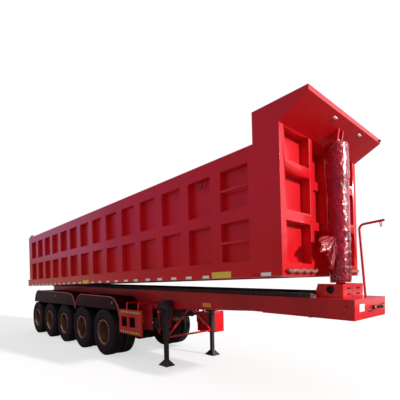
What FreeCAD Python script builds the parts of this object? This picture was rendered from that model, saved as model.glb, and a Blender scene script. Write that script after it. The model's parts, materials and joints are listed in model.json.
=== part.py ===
import FreeCAD, Part
import Sketcher
import os
import re
from FreeCAD import Placement, Rotation, Vector

# Dump semi-trailer with five twin-wheeled axles, parked on its landing legs.
# Lengths are in millimetres. Each piece is drawn from the tail: X = 0 at the tailgate's rear
# face and forward, Y to the left, Z up from the ground. The bed's pieces are drawn level, with
# Z = 0 at the lower edge of its side walls, and then turned up about the rear hinge.
# Every finished piece is moved so that the whole trailer's middle lies over the origin.

SIZES = [
    # alias, value, meaning
    ("axle_count", 5, "number of axles"),
    ("axle_first", 872, "tail to the rearmost axle"),
    ("axle_pitch", 1383, "distance between axles"),
    ("tyre_radius", 598, "outer radius of a tyre"),
    ("tyre_width", 305, "width of a tyre"),
    ("rim_radius", 305, "radius of the rim where the bead sits"),
    ("wheel_outer", 1245, "trailer middle to the outer tyre's wall"),
    ("twin_pitch", 335, "distance between the twin tyres' middles"),
    ("axle_size", 127, "side of the square axle tube"),
    ("hub_radius", 130, "radius of the wheel hub"),
    ("frame_lean", 1.2, "degrees that the frame leans forward on its legs"),
    ("beam_top", 1650, "height of the main beams' top over the legs"),
    ("beam_side", 580, "trailer middle to a beam's outer face"),
    ("beam_flange", 140, "width of a beam's flange"),
    ("beam_plate", 14, "thickness of a beam's plates"),
    ("beam_depth", 470, "depth of the beams behind the neck"),
    ("neck_depth", 275, "depth of the beams at the neck"),
    ("tail_plate", 20, "thickness of the plate at the beams' rear end"),
    ("tail_rear", 190, "tail to the rear end of the beams' low tails"),
    ("tail_low", 1195, "height of a low tail's top at its rear end"),
    ("tail_high", 1525, "height of a low tail's top under the hinge"),
    ("tail_room", 15, "hinge ear to the plate at the beams' rear end"),
    ("frame_reach", 636, "bed's front wall to the neck's front face"),
    ("neck_length", 1700, "length of the shallow neck"),
    ("taper_length", 3490, "length over which the beams taper to the neck"),
    ("end_plate", 16, "thickness of the neck's end plate"),
    ("cover_plate", 10, "thickness of the neck's top and rub plates"),
    ("cover_length", 1900, "length of the neck's top plate"),
    ("rub_length", 1500, "length of the neck's rub plate"),
    ("cross_size", 110, "side of a square cross member"),
    ("cross_drop", 120, "beams' top flange to a cross member by the wheels"),
    ("tank_drop", 260, "beams' top flange to a cross member over the tanks and legs"),
    ("neck_drop", 30, "beams' top flange to a cross member of the neck"),
    ("pin_back", 950, "neck's front face to the king pin"),
    ("pin_neck", 25.4, "king pin's neck radius"),
    ("pin_collar", 36, "king pin's collar radius"),
    ("pin_length", 84, "king pin's length below the rub plate"),
    ("pin_collar_length", 22, "length of the king pin's collar"),
    ("strip_rear", 1500, "tail to the cushion strips' rear end"),
    ("strip_end", 650, "neck's front face to the cushion strips' front end"),
    ("strip_width", 100, "width of a cushion strip"),
    ("strip_height", 65, "height of a cushion strip"),
    ("hinge_x", 700, "tail to the bed's hinge"),
    ("hinge_z", 1826, "height of the bed's hinge"),
    ("hinge_radius", 35, "radius of the hinge shaft"),
    ("hinge_play", 0.3, "radial play of the bed's ears on the shaft"),
    ("ear_thick", 36, "thickness of a hinge ear"),
    ("ear_radius", 60, "outer radius of a hinge ear"),
    ("ear_neck", 50, "half the length of an ear's neck"),
    ("ear_gap", 8, "gap between neighbouring ears"),
    ("rest_tilt", 0.5, "degrees that the bed stands raised"),
    ("bed_rise", 1805, "height of the level bed's lower edge"),
    ("bed_length", 11780, "tail to the front wall's outer face"),
    ("bed_side", 1245, "trailer middle to a side wall's outer face"),
    ("wall_height", 1930, "height of the side walls"),
    ("wall_depth", 118, "depth of a side wall over its posts"),
    ("recess_depth", 108, "depth of the recesses between the posts"),
    ("recess_first", 356, "tail to the first recess"),
    ("recess_last", 322, "front end of the walls to the last recess's bay"),
    ("recess_count", 14, "recesses in a row"),
    ("recess_width", 560, "width of a recess"),
    ("rail_low", 250, "height of the side wall's lower rail"),
    ("recess_low", 616, "height of a lower recess"),
    ("rail_mid", 198, "height of the side wall's middle rail"),
    ("recess_high", 630, "height of an upper recess"),
    ("gate_depth", 110, "depth of the tailgate over its posts"),
    ("gate_gap", 8, "gap between the tailgate and the side walls"),
    ("gate_low", 277, "bed's lower edge to the tailgate's lower edge"),
    ("gate_hinge_rise", 45, "top rail to the tailgate's hinge"),
    ("gate_pin", 20, "radius of the tailgate's hinge pins"),
    ("pin_cover", 15, "metal round a hinge pin"),
    ("apron_length", 230, "how far the floor's tail reaches past the tailgate"),
    ("floor_top", 269, "height of the floor above the lower edge"),
    ("floor_plate", 8, "thickness of the floor"),
    ("sill_width", 110, "width of a sill"),
    ("sill_drop", -91, "how far the sills reach below the lower edge"),
    ("bearer_width", 70, "width of a cross bearer"),
    ("bearer_depth", 90, "depth of a cross bearer"),
    ("front_depth", 160, "depth of the front wall over its posts"),
    ("front_skin", 10, "thickness of the front wall's plate"),
    ("front_post", 130, "width of a corner post of the front wall"),
    ("inner_post", 95, "width of a post beside the cylinder"),
    ("inner_post_side", 400, "trailer middle to those posts' middle"),
    ("bar_low", 775, "lower edge of the front wall's lower bar"),
    ("bar_high", 1470, "lower edge of the front wall's upper bar"),
    ("bar_height", 150, "height of a front wall bar"),
    ("sill_front", 185, "height of the front wall's lower rail"),
    ("well_side", 352, "trailer middle to the inside of the cylinder's well"),
    ("well_depth", 300, "depth of the cylinder's well in the front wall"),
    ("well_foot", 560, "depth of the well at its lower end, where it slopes back"),
    ("well_plate", 10, "thickness of the well's plates"),
    ("well_bar", 45, "depth of the bars inside the well"),
    ("head_height", 455, "how far the headboard rises over the side walls"),
    ("head_length", 455, "length of the headboard's side cheeks"),
    ("hood_reach", 440, "how far the hood projects forward"),
    ("hood_lip", 60, "height of the hood's front lip"),
    ("hood_under", 2080, "height where the hood's underside meets the front wall"),
    ("hood_plate", 12, "thickness of the hood's plates"),
    ("lift_reach", 230, "front wall to the cylinder's lower pivot"),
    ("lift_z", 1715, "height of the cylinder's lower pivot"),
    ("eye_reach", 210, "front wall to the cylinder's upper pin"),
    ("eye_drop", 90, "hood's underside to the cylinder's upper pin"),
    ("hook_half", 90, "half the length of the upper bracket at the hood"),
    ("hook_low_half", 60, "half the length of the upper bracket's lower end"),
    ("hook_drop", 55, "upper pin to the upper bracket's lower end"),
    ("barrel_radius", 150, "outer radius of the cylinder's barrel"),
    ("barrel_bottom", 80, "pivot to the barrel's lower end"),
    ("barrel_top_gap", 415, "upper pin to the barrel's upper rim"),
    ("tube_wall", 9, "wall of the barrel and of a stage"),
    ("stage_step", 22, "step from one stage's radius to the next"),
    ("stage_show", 62, "how far a stage stands out of the next one at rest"),
    ("stage_bottom", 67, "step between the stages' lower ends at rest"),
    ("stage_foot", 40, "height of a stage's piston ring"),
    ("gland_height", 40, "height of the gland ring at a tube's mouth"),
    ("tube_floor", 12, "thickness of a stage's closed lower end"),
    ("stage_count", 5, "moving stages of the cylinder"),
    ("stage_play", 0.5, "radial play between stages"),
    ("eye_radius", 55, "outer radius of the rod eye"),
    ("eye_width", 90, "width of the rod eye"),
    ("lift_pin", 30, "radius of the cylinder's pins"),
    ("pin_play", 0.3, "radial play of an eye on its pin"),
    ("wrap_gap", 0.5, "gap between the barrel and its film"),
    ("wrap_thick", 14, "thickness of the loose film"),
    ("cap_gap", 8, "gap between the lower film and the upper one"),
    ("cap_thick", 12, "thickness of the upper film"),
    ("cap_low", 640, "upper pin to the upper film's lower end"),
    ("cap_shoulder", 30, "extra length of the rod under its eye"),
    ("cap_drop", 30, "rod's shoulder to the upper film's top"),
    ("wrap_low", 150, "pivot to the film's lower end"),
    ("seat_rear", 218, "cylinder's lower pivot to the seat box's rear plate"),
    ("seat_front", 190, "cylinder's lower pivot to the seat box's front plate"),
    ("seat_side", 360, "trailer middle to the seat box's side"),
    ("seat_height", 205, "height of the seat box"),
    ("seat_plate", 20, "thickness of the seat box's plates"),
    ("seat_back", 120, "height of the seat box's rear plate"),
    ("seat_hole", 60, "radius of the hole in the seat box's side"),
    ("pole_radius", 17, "radius of the hose stand"),
    ("pole_lean", 4, "degrees that the hose stand leans back"),
    ("pole_height", 1080, "height of the hose stand"),
    ("pole_reach", 300, "how far the hose stand's arm reaches forward"),
    ("pole_back", 45, "neck's front face to the hose stand"),
    ("pole_bend", 70, "bend radius of the hose stand"),
    ("pole_ring", 34, "radius of the ring on the hose stand's arm"),
    ("ring_wire", 6, "radius of that ring's wire"),
    ("leg_back", 4000, "neck's front face to the landing legs"),
    ("leg_side", 715, "trailer middle to a landing leg"),
    ("leg_tube", 110, "side of a leg's outer tube"),
    ("leg_inner", 84, "side of a leg's inner tube"),
    ("leg_tube_low", 560, "ground to the outer tube's lower end"),
    ("leg_tube_high", 1400, "ground to the outer tube's upper end"),
    ("foot_length", 300, "length of a landing foot"),
    ("foot_width", 240, "width of a landing foot"),
    ("foot_height", 130, "height of a landing foot"),
    ("foot_plate", 14, "thickness of a foot's sole"),
    ("shaft_z", 1070, "height of the landing gear's cross shaft"),
    ("shaft_shift", 33, "landing legs' middle to that shaft"),
    ("shaft_radius", 18, "radius of that shaft"),
    ("brace_z", 620, "height of the landing gear's cross bar"),
    ("brace_size", 40, "side of a brace tube"),
    ("fender_side", 1245, "trailer middle to a fender's outer edge"),
    ("fender_inner", 640, "trailer middle to a fender's inner edge"),
    ("fender_top", 1477, "height of a fender's top"),
    ("fender_plate", 6, "thickness of a fender"),
    ("fender_skirt", 270, "depth of a fender's outer skirt"),
    ("fender_end", 284, "how far a fender reaches past its end axle"),
    ("fender_front", 840, "how far the front fender reaches past the last axle"),
    ("fender_shift", 250, "how far the gap between the fenders lies before mid-pitch"),
    ("fender_slope", 470, "length of a fender's sloped end"),
    ("fender_drop", 440, "drop of a fender's sloped end"),
    ("stay_width", 60, "width of a fender's stay"),
    ("stay_depth", 50, "depth of a fender's stay"),
    ("fender_gap", 40, "gap between the two fenders of a side"),
    ("guard_back", 1136, "landing legs to the side guard's rear end"),
    ("guard_length", 970, "length of a side guard"),
    ("guard_low", 680, "height of a side guard's lower edge"),
    ("guard_height", 560, "height of a side guard"),
    ("guard_plate", 25, "thickness of a side guard"),
    ("guard_side", 1245, "trailer middle to a side guard's outer face"),
    ("window_length", 265, "length of a side guard's window"),
    ("window_height", 230, "height of a side guard's window"),
    ("window_margin", 95, "side guard's edge to its first window"),
    ("window_pitch", 345, "distance between a side guard's windows"),
    ("hoop_rise", 150, "side guard's top edge to its hoops' arms"),
    ("hoop_radius", 16, "radius of a side guard's hoop"),
    ("box_back", 4626, "neck's front face to the toolbox's rear end"),
    ("box_length", 600, "length of the toolbox"),
    ("box_clear", 30, "gap between the left side guard and the toolbox"),
    ("box_side", 1180, "trailer middle to the toolbox's door"),
    ("box_width", 370, "width of the toolbox"),
    ("box_low", 540, "height of the toolbox's underside"),
    ("box_height", 510, "height of the toolbox"),
    ("box_wall", 12, "wall of the toolbox"),
    ("bracket_inset", 110, "toolbox's end to its bracket"),
    ("bracket_width", 60, "width of a toolbox bracket"),
    ("bracket_height", 300, "height of a toolbox bracket"),
    ("box_door", 18, "thickness of the toolbox's door"),
    ("box_gap", 0.3, "gap behind the toolbox's door"),
    ("box_pin", 6, "radius of the pin that the toolbox's door hangs on"),
    ("box_knuckle", 10, "outer radius of that hinge's knuckles"),
    ("box_knuckle_length", 60, "length of a knuckle"),
    ("box_lip", 5, "knuckles' underside to the door's upper edge"),
    ("spring_side", 470, "trailer middle to a leaf spring"),
    ("leaf_width", 90, "width of a leaf"),
    ("hanger_length", 180, "length of a spring hanger"),
    ("hanger_width", 110, "width of a spring hanger"),
    ("spring_end", 60, "leaf spring's end to the middle between two axles"),
    ("hanger_shift", 120, "how far the rearmost hanger is set forward of its spring's end"),
    ("hanger_gap", 0.3, "gap between a spring and its hanger"),
    ("tank_radius", 135, "radius of an air tank"),
    ("tank_length", 620, "length of an air tank"),
    ("tank_back", 796, "landing legs to the air tanks' rear end"),
    ("bumper_x", 120, "tail to the rear guard"),
    ("bumper_z", 430, "height of the rear guard's middle"),
    ("bumper_size", 110, "height of the rear guard"),
    ("bumper_half", 1100, "half the length of the rear guard"),
    ("stay_step", 60, "beams' tail to a stay of the rear guard, and a third of its top's reach"),
    ("lamp_end", 40, "rear guard's end to a tail lamp"),
    ("lamp_depth", 40, "depth of a tail lamp"),
    ("lamp_size", 120, "height of a tail lamp"),
]

doc = FreeCAD.newDocument("DumpTrailer")
sheet = doc.addObject("Spreadsheet::Sheet", "Sizes")
for line, (alias, value, meaning) in enumerate(SIZES, 1):
    sheet.set(f"A{line}", meaning)
    sheet.set(f"B{line}", str(value))
    sheet.setAlias(f"B{line}", alias)
doc.recompute()

VALUES = {alias: value for alias, value, _ in SIZES}
WORD = re.compile(r"[a-z][a-z0-9_]*")
NODES = []

# Words that several pieces share, written with the sheet's names.
FRAME_FRONT = "(bed_length + frame_reach)"
TAPER_FRONT = f"({FRAME_FRONT} - neck_length)"
TAPER_REAR = f"({TAPER_FRONT} - taper_length)"
LEG_X = f"({FRAME_FRONT} - leg_back)"
FALL = "sin(frame_lean)"
LIFT_X = "(bed_length + lift_reach)"
EYE_X = "(bed_length + eye_reach)"
HEAD_TOP = "(wall_height + head_height - hood_plate)"
HOOD_SLOPE = f"(({HEAD_TOP} - hood_lip - hood_under) / hood_reach)"
EYE_Z = f"(hood_under + eye_reach * {HOOD_SLOPE} - eye_drop)"
STRIP_FRONT = f"({FRAME_FRONT} - strip_end)"
GUARD_REAR = f"({LEG_X} - guard_back)"
TANK_X = f"({LEG_X} - tank_back)"
BOX_X = f"({FRAME_FRONT} - box_back)"
PITCH = "((bed_length - recess_first - recess_last) / recess_count)"
TAIL_END = ("(hinge_x - (hinge_x + apron_length) * cos(rest_tilt)"
            " - (bed_rise - hinge_z + floor_top - floor_plate) * sin(rest_tilt))")
POLE_X = f"({FRAME_FRONT} - pole_back)"
NOSE_END = (f"({POLE_X} + (pole_back + pole_reach) * cos(pole_lean)"
            " - (pole_height - pole_radius) * sin(pole_lean))")
MIDDLE = f"(-({TAIL_END} + {NOSE_END}) / 2)"
BEAM_LOW = "(beam_top - beam_depth)"
NECK_LOW = "(beam_top - neck_depth)"
SEAT = "(bed_rise - hinge_z)"
INSIDE = "(bed_side - wall_depth)"
EYE_DX = (f"(hinge_x + ({EYE_X} - hinge_x) * cos(rest_tilt) - ({EYE_Z} + {SEAT})"
          f" * sin(rest_tilt) - {LIFT_X})")
EYE_DZ = (f"(hinge_z + ({EYE_X} - hinge_x) * sin(rest_tilt) + ({EYE_Z} + {SEAT})"
          f" * cos(rest_tilt) - lift_z)")
LIFT_LENGTH = f"sqrt({EYE_DX} * {EYE_DX} + {EYE_DZ} * {EYE_DZ})"


def bound(text):
    """Write an expression with the sheet's name before each alias."""
    return WORD.sub(lambda m: "Sizes." + m.group() if m.group() in VALUES else m.group(),
                    str(text))


def bind(obj, **texts):
    for prop, text in texts.items():
        obj.setExpression(prop.replace("__", "."), bound(text))


def place(obj, x=0, y=0, z=0):
    bind(obj, Placement__Base__x=x, Placement__Base__y=y, Placement__Base__z=z)
    return obj


def box(name, size, corner):
    """A block from its length, width and height and its lowest corner."""
    obj = doc.addObject("Part::Box", name)
    bind(obj, Length=size[0], Width=size[1], Height=size[2])
    return place(obj, *corner)


TURNS = {"X": Rotation(Vector(0, 1, 0), 90), "Y": Rotation(Vector(1, 0, 0), -90),
         "Z": Rotation()}


def rod(name, radius, length, start, along="Z"):
    """A round bar from its start point, along an axis."""
    obj = doc.addObject("Part::Cylinder", name)
    bind(obj, Radius=radius, Height=length)
    obj.Placement.Rotation = TURNS[along]
    return place(obj, *start)


def join(name, pieces):
    obj = doc.addObject("Part::MultiFuse", name)
    obj.Shapes = pieces
    return obj


def group(name, pieces):
    """Several solids that don't touch, kept as one piece."""
    obj = doc.addObject("Part::Compound", name)
    obj.Links = pieces
    return obj


def cut(name, base, tool):
    obj = doc.addObject("Part::Cut", name)
    obj.Base = base
    obj.Tool = tool
    return obj


def outline(sketch, corners):
    """Draw a closed outline whose corners are bound to the sheet.

    The corners start on a small circle, and the bound distances then move them into place.
    """
    first = sketch.GeometryCount
    count = len(corners)
    start = [Vector(100, 0, 0)]
    step = Rotation(Vector(0, 0, 1), 360 / count)
    for _ in range(count - 1):
        start.append(step.multVec(start[-1]))
    for i in range(count):
        sketch.addGeometry(Part.LineSegment(start[i], start[(i + 1) % count]))
    for i in range(count):
        sketch.addConstraint(Sketcher.Constraint("Coincident", first + i, 2,
                                                 first + (i + 1) % count, 1))
    for i, (across, up) in enumerate(corners):
        for kind, text, number in (("DistanceX", across, start[i].x),
                                   ("DistanceY", up, start[i].y)):
            index = sketch.addConstraint(Sketcher.Constraint(kind, -1, 1, first + i, 1, number))
            sketch.setExpression(f"Constraints[{index}]", bound(text))


def body_sketch(body, plane, name, outlines, out=0):
    """A sketch on one of a body's own planes, moved out along the plane's normal."""
    sketch = body.newObject("Sketcher::SketchObject", name)
    support = [item for item in body.Origin.OriginFeatures if item.Role == plane + "_Plane"][0]
    sketch.AttachmentSupport = [(support, "")]
    sketch.MapMode = "FlatFace"
    if out:
        bind(sketch, AttachmentOffset__Base__z=out)
    for corners in outlines:
        outline(sketch, corners)
    return sketch


def pad(name, plane, outlines, thick, middle=True):
    """A plate or profile: one outline, any further ones being holes, given a thickness."""
    body = doc.addObject("PartDesign::Body", name)
    sketch = body_sketch(body, plane, name + "_outline", outlines)
    feature = body.newObject("PartDesign::Pad", name + "_pad")
    feature.Profile = sketch
    if middle:
        feature.SideType = "Symmetric"
    bind(feature, Length=thick)
    return body


def pocket(body, plane, name, outlines, depth, out=0):
    sketch = body_sketch(body, plane, name + "_outline", outlines, out)
    feature = body.newObject("PartDesign::Pocket", name)
    feature.Profile = sketch
    bind(feature, Length=depth)
    return feature


def repeat(body, feature, name, length, count, axis="X"):
    """Repeat a feature along one of the body's axes."""
    line = [item for item in body.Origin.OriginFeatures if item.Role == axis + "_Axis"][0]
    pattern = body.newObject("PartDesign::LinearPattern", name)
    pattern.Originals = [feature]
    pattern.Direction = (line, [""])
    bind(pattern, Length=length, Occurrences=count)
    body.Tip = pattern
    return pattern


def turned(name, outlines, along="Y"):
    """Rings turned about an axis, from outlines of radius and distance along it."""
    sketch = doc.addObject("Sketcher::SketchObject", name + "_outline")
    for corners in outlines:
        outline(sketch, corners)
    ring = doc.addObject("Part::Revolution", name)
    ring.Source = sketch
    ring.Axis = Vector(0, 1, 0)
    ring.Angle = 360
    ring.Solid = True
    if along == "Z":
        ring.Placement.Rotation = Rotation(Vector(1, 0, 0), 90)
    return ring


def block(x0, z0, x1, z1):
    """The corners of an upright rectangle."""
    return [(x0, z0), (x1, z0), (x1, z1), (x0, z1)]


def mirror(name, source):
    """The same piece on the other side of the trailer's middle."""
    obj = doc.addObject("Part::Mirroring", name)
    obj.Source = source
    obj.Normal = Vector(0, 1, 0)
    return obj


def add_node(obj, name):
    obj.Label = name
    NODES.append(obj)
    return obj


def on_frame(name, obj):
    """A finished piece that stands level on the ground, moved over the origin."""
    bind(obj, Placement__Base__x=MIDDLE)
    return add_node(obj, name)


def on_lean(name, obj):
    """A finished piece of the frame, drawn level and leaned forward about the legs' feet."""
    obj.Placement = Placement(Vector(), Rotation(Vector(0, 1, 0), 1))
    bind(obj, Placement__Rotation__Angle="frame_lean",
         Placement__Base__x=f"{LEG_X} - {LEG_X} * cos(frame_lean) + {MIDDLE}",
         Placement__Base__z=f"{LEG_X} * {FALL}")
    return add_node(obj, name)


def on_bed(name, obj):
    """A finished piece of the bed, drawn level and turned up about the hinge."""
    obj.Placement = Placement(Vector(), Rotation(Vector(0, -1, 0), 1))
    bind(obj, Placement__Rotation__Angle="rest_tilt",
         Placement__Base__x=f"hinge_x - hinge_x * cos(rest_tilt) - {SEAT} * sin(rest_tilt)"
                            f" + {MIDDLE}",
         Placement__Base__z=f"hinge_z - hinge_x * sin(rest_tilt) + {SEAT} * cos(rest_tilt)")
    return add_node(obj, name)


def on_lift(name, obj):
    """A finished piece of the cylinder, drawn upright from its lower pivot."""
    obj.Placement = Placement(Vector(), Rotation(Vector(0, 1, 0), -1))
    bind(obj, Placement__Rotation__Angle=f"atan2({EYE_DX}; {EYE_DZ})",
         Placement__Base__x=f"{LIFT_X} + {MIDDLE}", Placement__Base__z="lift_z")
    return add_node(obj, name)


def level_place(x, z):
    """The place in the level frame of a point that is given as it stands."""
    return (f"({LEG_X} + ({x} - {LEG_X}) * cos(frame_lean) - {z} * {FALL})",
            f"(({x} - {LEG_X}) * {FALL} + {z} * cos(frame_lean))")


HINGE_X, HINGE_Z = level_place("hinge_x", "hinge_z")
PIVOT_X, PIVOT_Z = level_place(LIFT_X, "lift_z")

# Main beams: two channels whose webs face outwards, deep behind and shallow at the neck.
BEAM_REAR = f"({HINGE_X} + ear_radius + tail_room + tail_plate)"
beam_line = [("tail_rear", BEAM_LOW), (TAPER_REAR, BEAM_LOW), (TAPER_FRONT, NECK_LOW),
             (f"{FRAME_FRONT} - end_plate", NECK_LOW)]
tail_line = [(BEAM_REAR, "tail_high"), ("tail_rear", "tail_low")]
beam_outline = beam_line + [(f"{FRAME_FRONT} - end_plate", "beam_top"), (BEAM_REAR, "beam_top")] + tail_line
web = pad("BeamWeb", "XZ", [beam_outline], "beam_plate")
place(web, y="-beam_side + beam_plate / 2")
flange_outline = beam_line + [(x, f"{z} + beam_plate") for x, z in reversed(beam_line)]
low_flange = pad("BeamLowFlange", "XZ", [flange_outline], "beam_flange")
place(low_flange, y="-beam_side + beam_flange / 2")
top_flange = box("BeamTopFlange", (f"{FRAME_FRONT} - end_plate - {BEAM_REAR}", "beam_flange",
                                   "beam_plate"), (BEAM_REAR, "-beam_side", "beam_top - beam_plate"))
tail_flange = pad("BeamTailFlange", "XZ", [tail_line + [(x, f"{z} - beam_plate")
                                                        for x, z in reversed(tail_line)]], "beam_flange")
place(tail_flange, y="-beam_side + beam_flange / 2")
beam_right = join("BeamRight", [web, low_flange, top_flange, tail_flange])
on_lean("main_beams", group("MainBeams", [beam_right, mirror("BeamLeft", beam_right)]))

# Cross members: square tubes between the beams.
stations = [(f"axle_first + ({i} + 0.5) * axle_pitch", "cross_drop")
            for i in range(VALUES["axle_count"])]
stations += [(f"{TANK_X} + {share} * tank_length", "tank_drop") for share in (0.15, 0.7)]
stations += [(f"{LEG_X} - cross_size / 2", "tank_drop")]
stations += [(f"{FRAME_FRONT} - {share} * neck_length", "neck_drop") for share in (1.2, 0.8, 0.42)]
cross = [box(f"Cross{i}", ("cross_size", "2 * (beam_side - beam_plate)", "cross_size"),
             (x, "-beam_side + beam_plate", f"beam_top - beam_plate - cross_size - {drop}"))
         for i, (x, drop) in enumerate(stations)]
on_lean("cross_members", group("CrossMembers", cross))
UNDER_CROSS = "(beam_top - beam_plate - cross_size - tank_drop)"

# Neck: end plate, cover plate, rub plate and king pin.
on_lean("neck_plates", join("NeckPlates", [
    box("EndPlate", ("end_plate", "2 * beam_side", "neck_depth"),
        (f"{FRAME_FRONT} - end_plate", "-beam_side", NECK_LOW)),
    box("NeckCover", ("cover_length", "2 * (beam_side - beam_flange)", "cover_plate"),
        (f"{FRAME_FRONT} - end_plate - cover_length", "-beam_side + beam_flange",
         "beam_top - cover_plate")),
    box("RubPlate", ("rub_length", "2 * beam_side", "cover_plate"),
        (f"{FRAME_FRONT} - rub_length", "-beam_side", f"{NECK_LOW} - cover_plate"))]))
PIN_X = f"({FRAME_FRONT} - pin_back)"
PIN_TOP = f"({NECK_LOW} - cover_plate)"
on_lean("king_pin", join("KingPin", [
    rod("KingPinNeck", "pin_neck", "pin_length", (PIN_X, 0, f"{PIN_TOP} - pin_length")),
    rod("KingPinCollar", "pin_collar", "pin_collar_length", (PIN_X, 0, f"{PIN_TOP} - pin_length"))]))

# Cushion strips on the beams, where the lowered bed comes to lie.
strips = []
for side in ("-", ""):
    y = f"{side}(beam_side - beam_flange / 2) - strip_width / 2"
    strips.append(box("Strip" + ("Right" if side else "Left"),
                      (f"{STRIP_FRONT} - strip_rear", "strip_width", "strip_height"),
                      ("strip_rear", y, "beam_top")))
on_lean("cushion_strips", group("CushionStrips", strips))

# Hinge brackets at the beams' rear end, with the shaft through them.
EAR_Y = "(beam_side - beam_flange / 2)"
brackets = []
for side, sign in (("Right", "-"), ("Left", "")):
    parts = [box("TailPlate" + side, ("tail_plate", "beam_flange", "beam_top - tail_high + ear_radius"),
                 (f"{BEAM_REAR} - tail_plate", f"{sign}{EAR_Y} - beam_flange / 2", "tail_high"))]
    for k, shift in enumerate((-1, 1)):
        y = f"{sign}{EAR_Y} + {shift} * (ear_thick + ear_gap) - ear_thick / 2"
        parts.append(box(f"EarArm{side}{k}", (f"{BEAM_REAR} - tail_plate - {HINGE_X}", "ear_thick",
                                              "2 * ear_radius"), (HINGE_X, y, f"{HINGE_Z} - ear_radius")))
        parts.append(rod(f"EarRound{side}{k}", "ear_radius", "ear_thick", (HINGE_X, y, HINGE_Z), "Y"))
    bore = rod("EarBore" + side, "hinge_radius", "6 * ear_thick",
               (HINGE_X, f"{sign}{EAR_Y} - 3 * ear_thick", HINGE_Z), "Y")
    brackets.append(cut("HingeBracket" + side, join("HingeBracketRaw" + side, parts), bore))
brackets.append(rod("HingeShaft", "hinge_radius", "2 * (beam_side + 20)",
                    (HINGE_X, "-beam_side - 20", HINGE_Z), "Y"))
on_lean("hinge_brackets", join("HingeBrackets", brackets))

# Cylinder seat: an open box of plates on the neck, with two lugs and a pin inside.
SEAT_REAR = f"({PIVOT_X} - seat_rear)"
SEAT_FRONT = f"({PIVOT_X} + seat_front)"
seat_cheek_outline = [(SEAT_REAR, "beam_top"), (SEAT_FRONT, "beam_top"),
                      (SEAT_FRONT, "beam_top + seat_height"),
                      (f"{SEAT_REAR} + 25", "beam_top + seat_height"),
                      (SEAT_REAR, "beam_top + seat_back")]
seat = []
for side, sign in (("Right", "-"), ("Left", "")):
    cheek = pad("SeatCheek" + side, "XZ", [seat_cheek_outline], "seat_plate")
    place(cheek, y=f"{sign}(seat_side - seat_plate / 2)")
    hole = rod("SeatHole" + side, "seat_hole", "3 * seat_plate",
               (PIVOT_X, f"{sign}seat_side - 1.5 * seat_plate", "beam_top + seat_back"), "Y")
    seat.append(cut("SeatCheekOpen" + side, cheek, hole))
inner = "(2 * (seat_side - seat_plate))"
seat.append(box("SeatFront", ("seat_plate", inner, "seat_height"),
                (f"{SEAT_FRONT} - seat_plate", f"-{inner} / 2", "beam_top")))
seat.append(box("SeatRear", ("seat_plate", inner, "seat_back"), (SEAT_REAR, f"-{inner} / 2", "beam_top")))
LUG_Y = "(eye_width / 2 + ear_gap)"
for side, y in (("Right", f"-{LUG_Y} - ear_thick"), ("Left", LUG_Y)):
    lug = join("SeatLug" + side, [
        box("SeatLugFoot" + side, ("2 * eye_radius", "ear_thick", f"{PIVOT_Z} - beam_top"),
            (f"{PIVOT_X} - eye_radius", y, "beam_top")),
        rod("SeatLugRound" + side, "eye_radius", "ear_thick", (PIVOT_X, y, PIVOT_Z), "Y")])
    seat.append(cut("SeatLugOpen" + side, lug,
                    rod("SeatLugBore" + side, "lift_pin", "3 * ear_thick",
                        (PIVOT_X, f"{y} - ear_thick", PIVOT_Z), "Y")))
seat.append(box("SeatFloor", ("seat_rear + seat_front - 2 * seat_plate", inner, "cover_plate"),
                (f"{SEAT_REAR} + seat_plate", f"-{inner} / 2", "beam_top")))
seat.append(rod("SeatPin", "lift_pin", f"2 * ({LUG_Y} + ear_thick)",
                (PIVOT_X, f"-{LUG_Y} - ear_thick", PIVOT_Z), "Y"))
on_lean("lift_seat", join("LiftSeat", seat))

# Hose stand: a bent pole with an arm that reaches forward and holds a ring.
POLE_FOOT = f"(beam_top / cos(frame_lean) - ({POLE_X} - {LEG_X}) * tan(frame_lean))"
POLE_RISE = "(pole_radius * sin(pole_lean + frame_lean) + hanger_gap)"
elbow = doc.addObject("Part::Torus", "PoleElbow")
bind(elbow, Radius1="pole_bend", Radius2="pole_radius", Angle3=90)
elbow.Placement.Rotation = Rotation(Vector(1, 0, 0), 90)
elbow.Placement = Placement(Vector(), Rotation(Vector(0, 0, 1), 180) * elbow.Placement.Rotation)
place(elbow, "pole_bend", 0, "pole_height - pole_bend")
ring = doc.addObject("Part::Torus", "PoleRing")
bind(ring, Radius1="pole_ring", Radius2="ring_wire")
ring.Placement.Rotation = TURNS["X"]
place(ring, "pole_back + pole_reach - 3 * pole_radius", 0,
      "pole_height - pole_radius - pole_ring + ring_wire / 2")
stand = join("HoseStand", [
    rod("PoleUpright", "pole_radius", f"pole_height - pole_bend - {POLE_RISE}", (0, 0, POLE_RISE)), elbow,
    rod("PoleArm", "pole_radius", "pole_reach + pole_back - pole_bend", ("pole_bend", 0, "pole_height"), "X"),
    ring])
stand.Placement = Placement(Vector(), Rotation(Vector(0, -1, 0), 1))
bind(stand, Placement__Rotation__Angle="pole_lean", Placement__Base__x=f"{POLE_X} + {MIDDLE}",
     Placement__Base__z=POLE_FOOT)
add_node(stand, "hose_stand")

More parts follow.
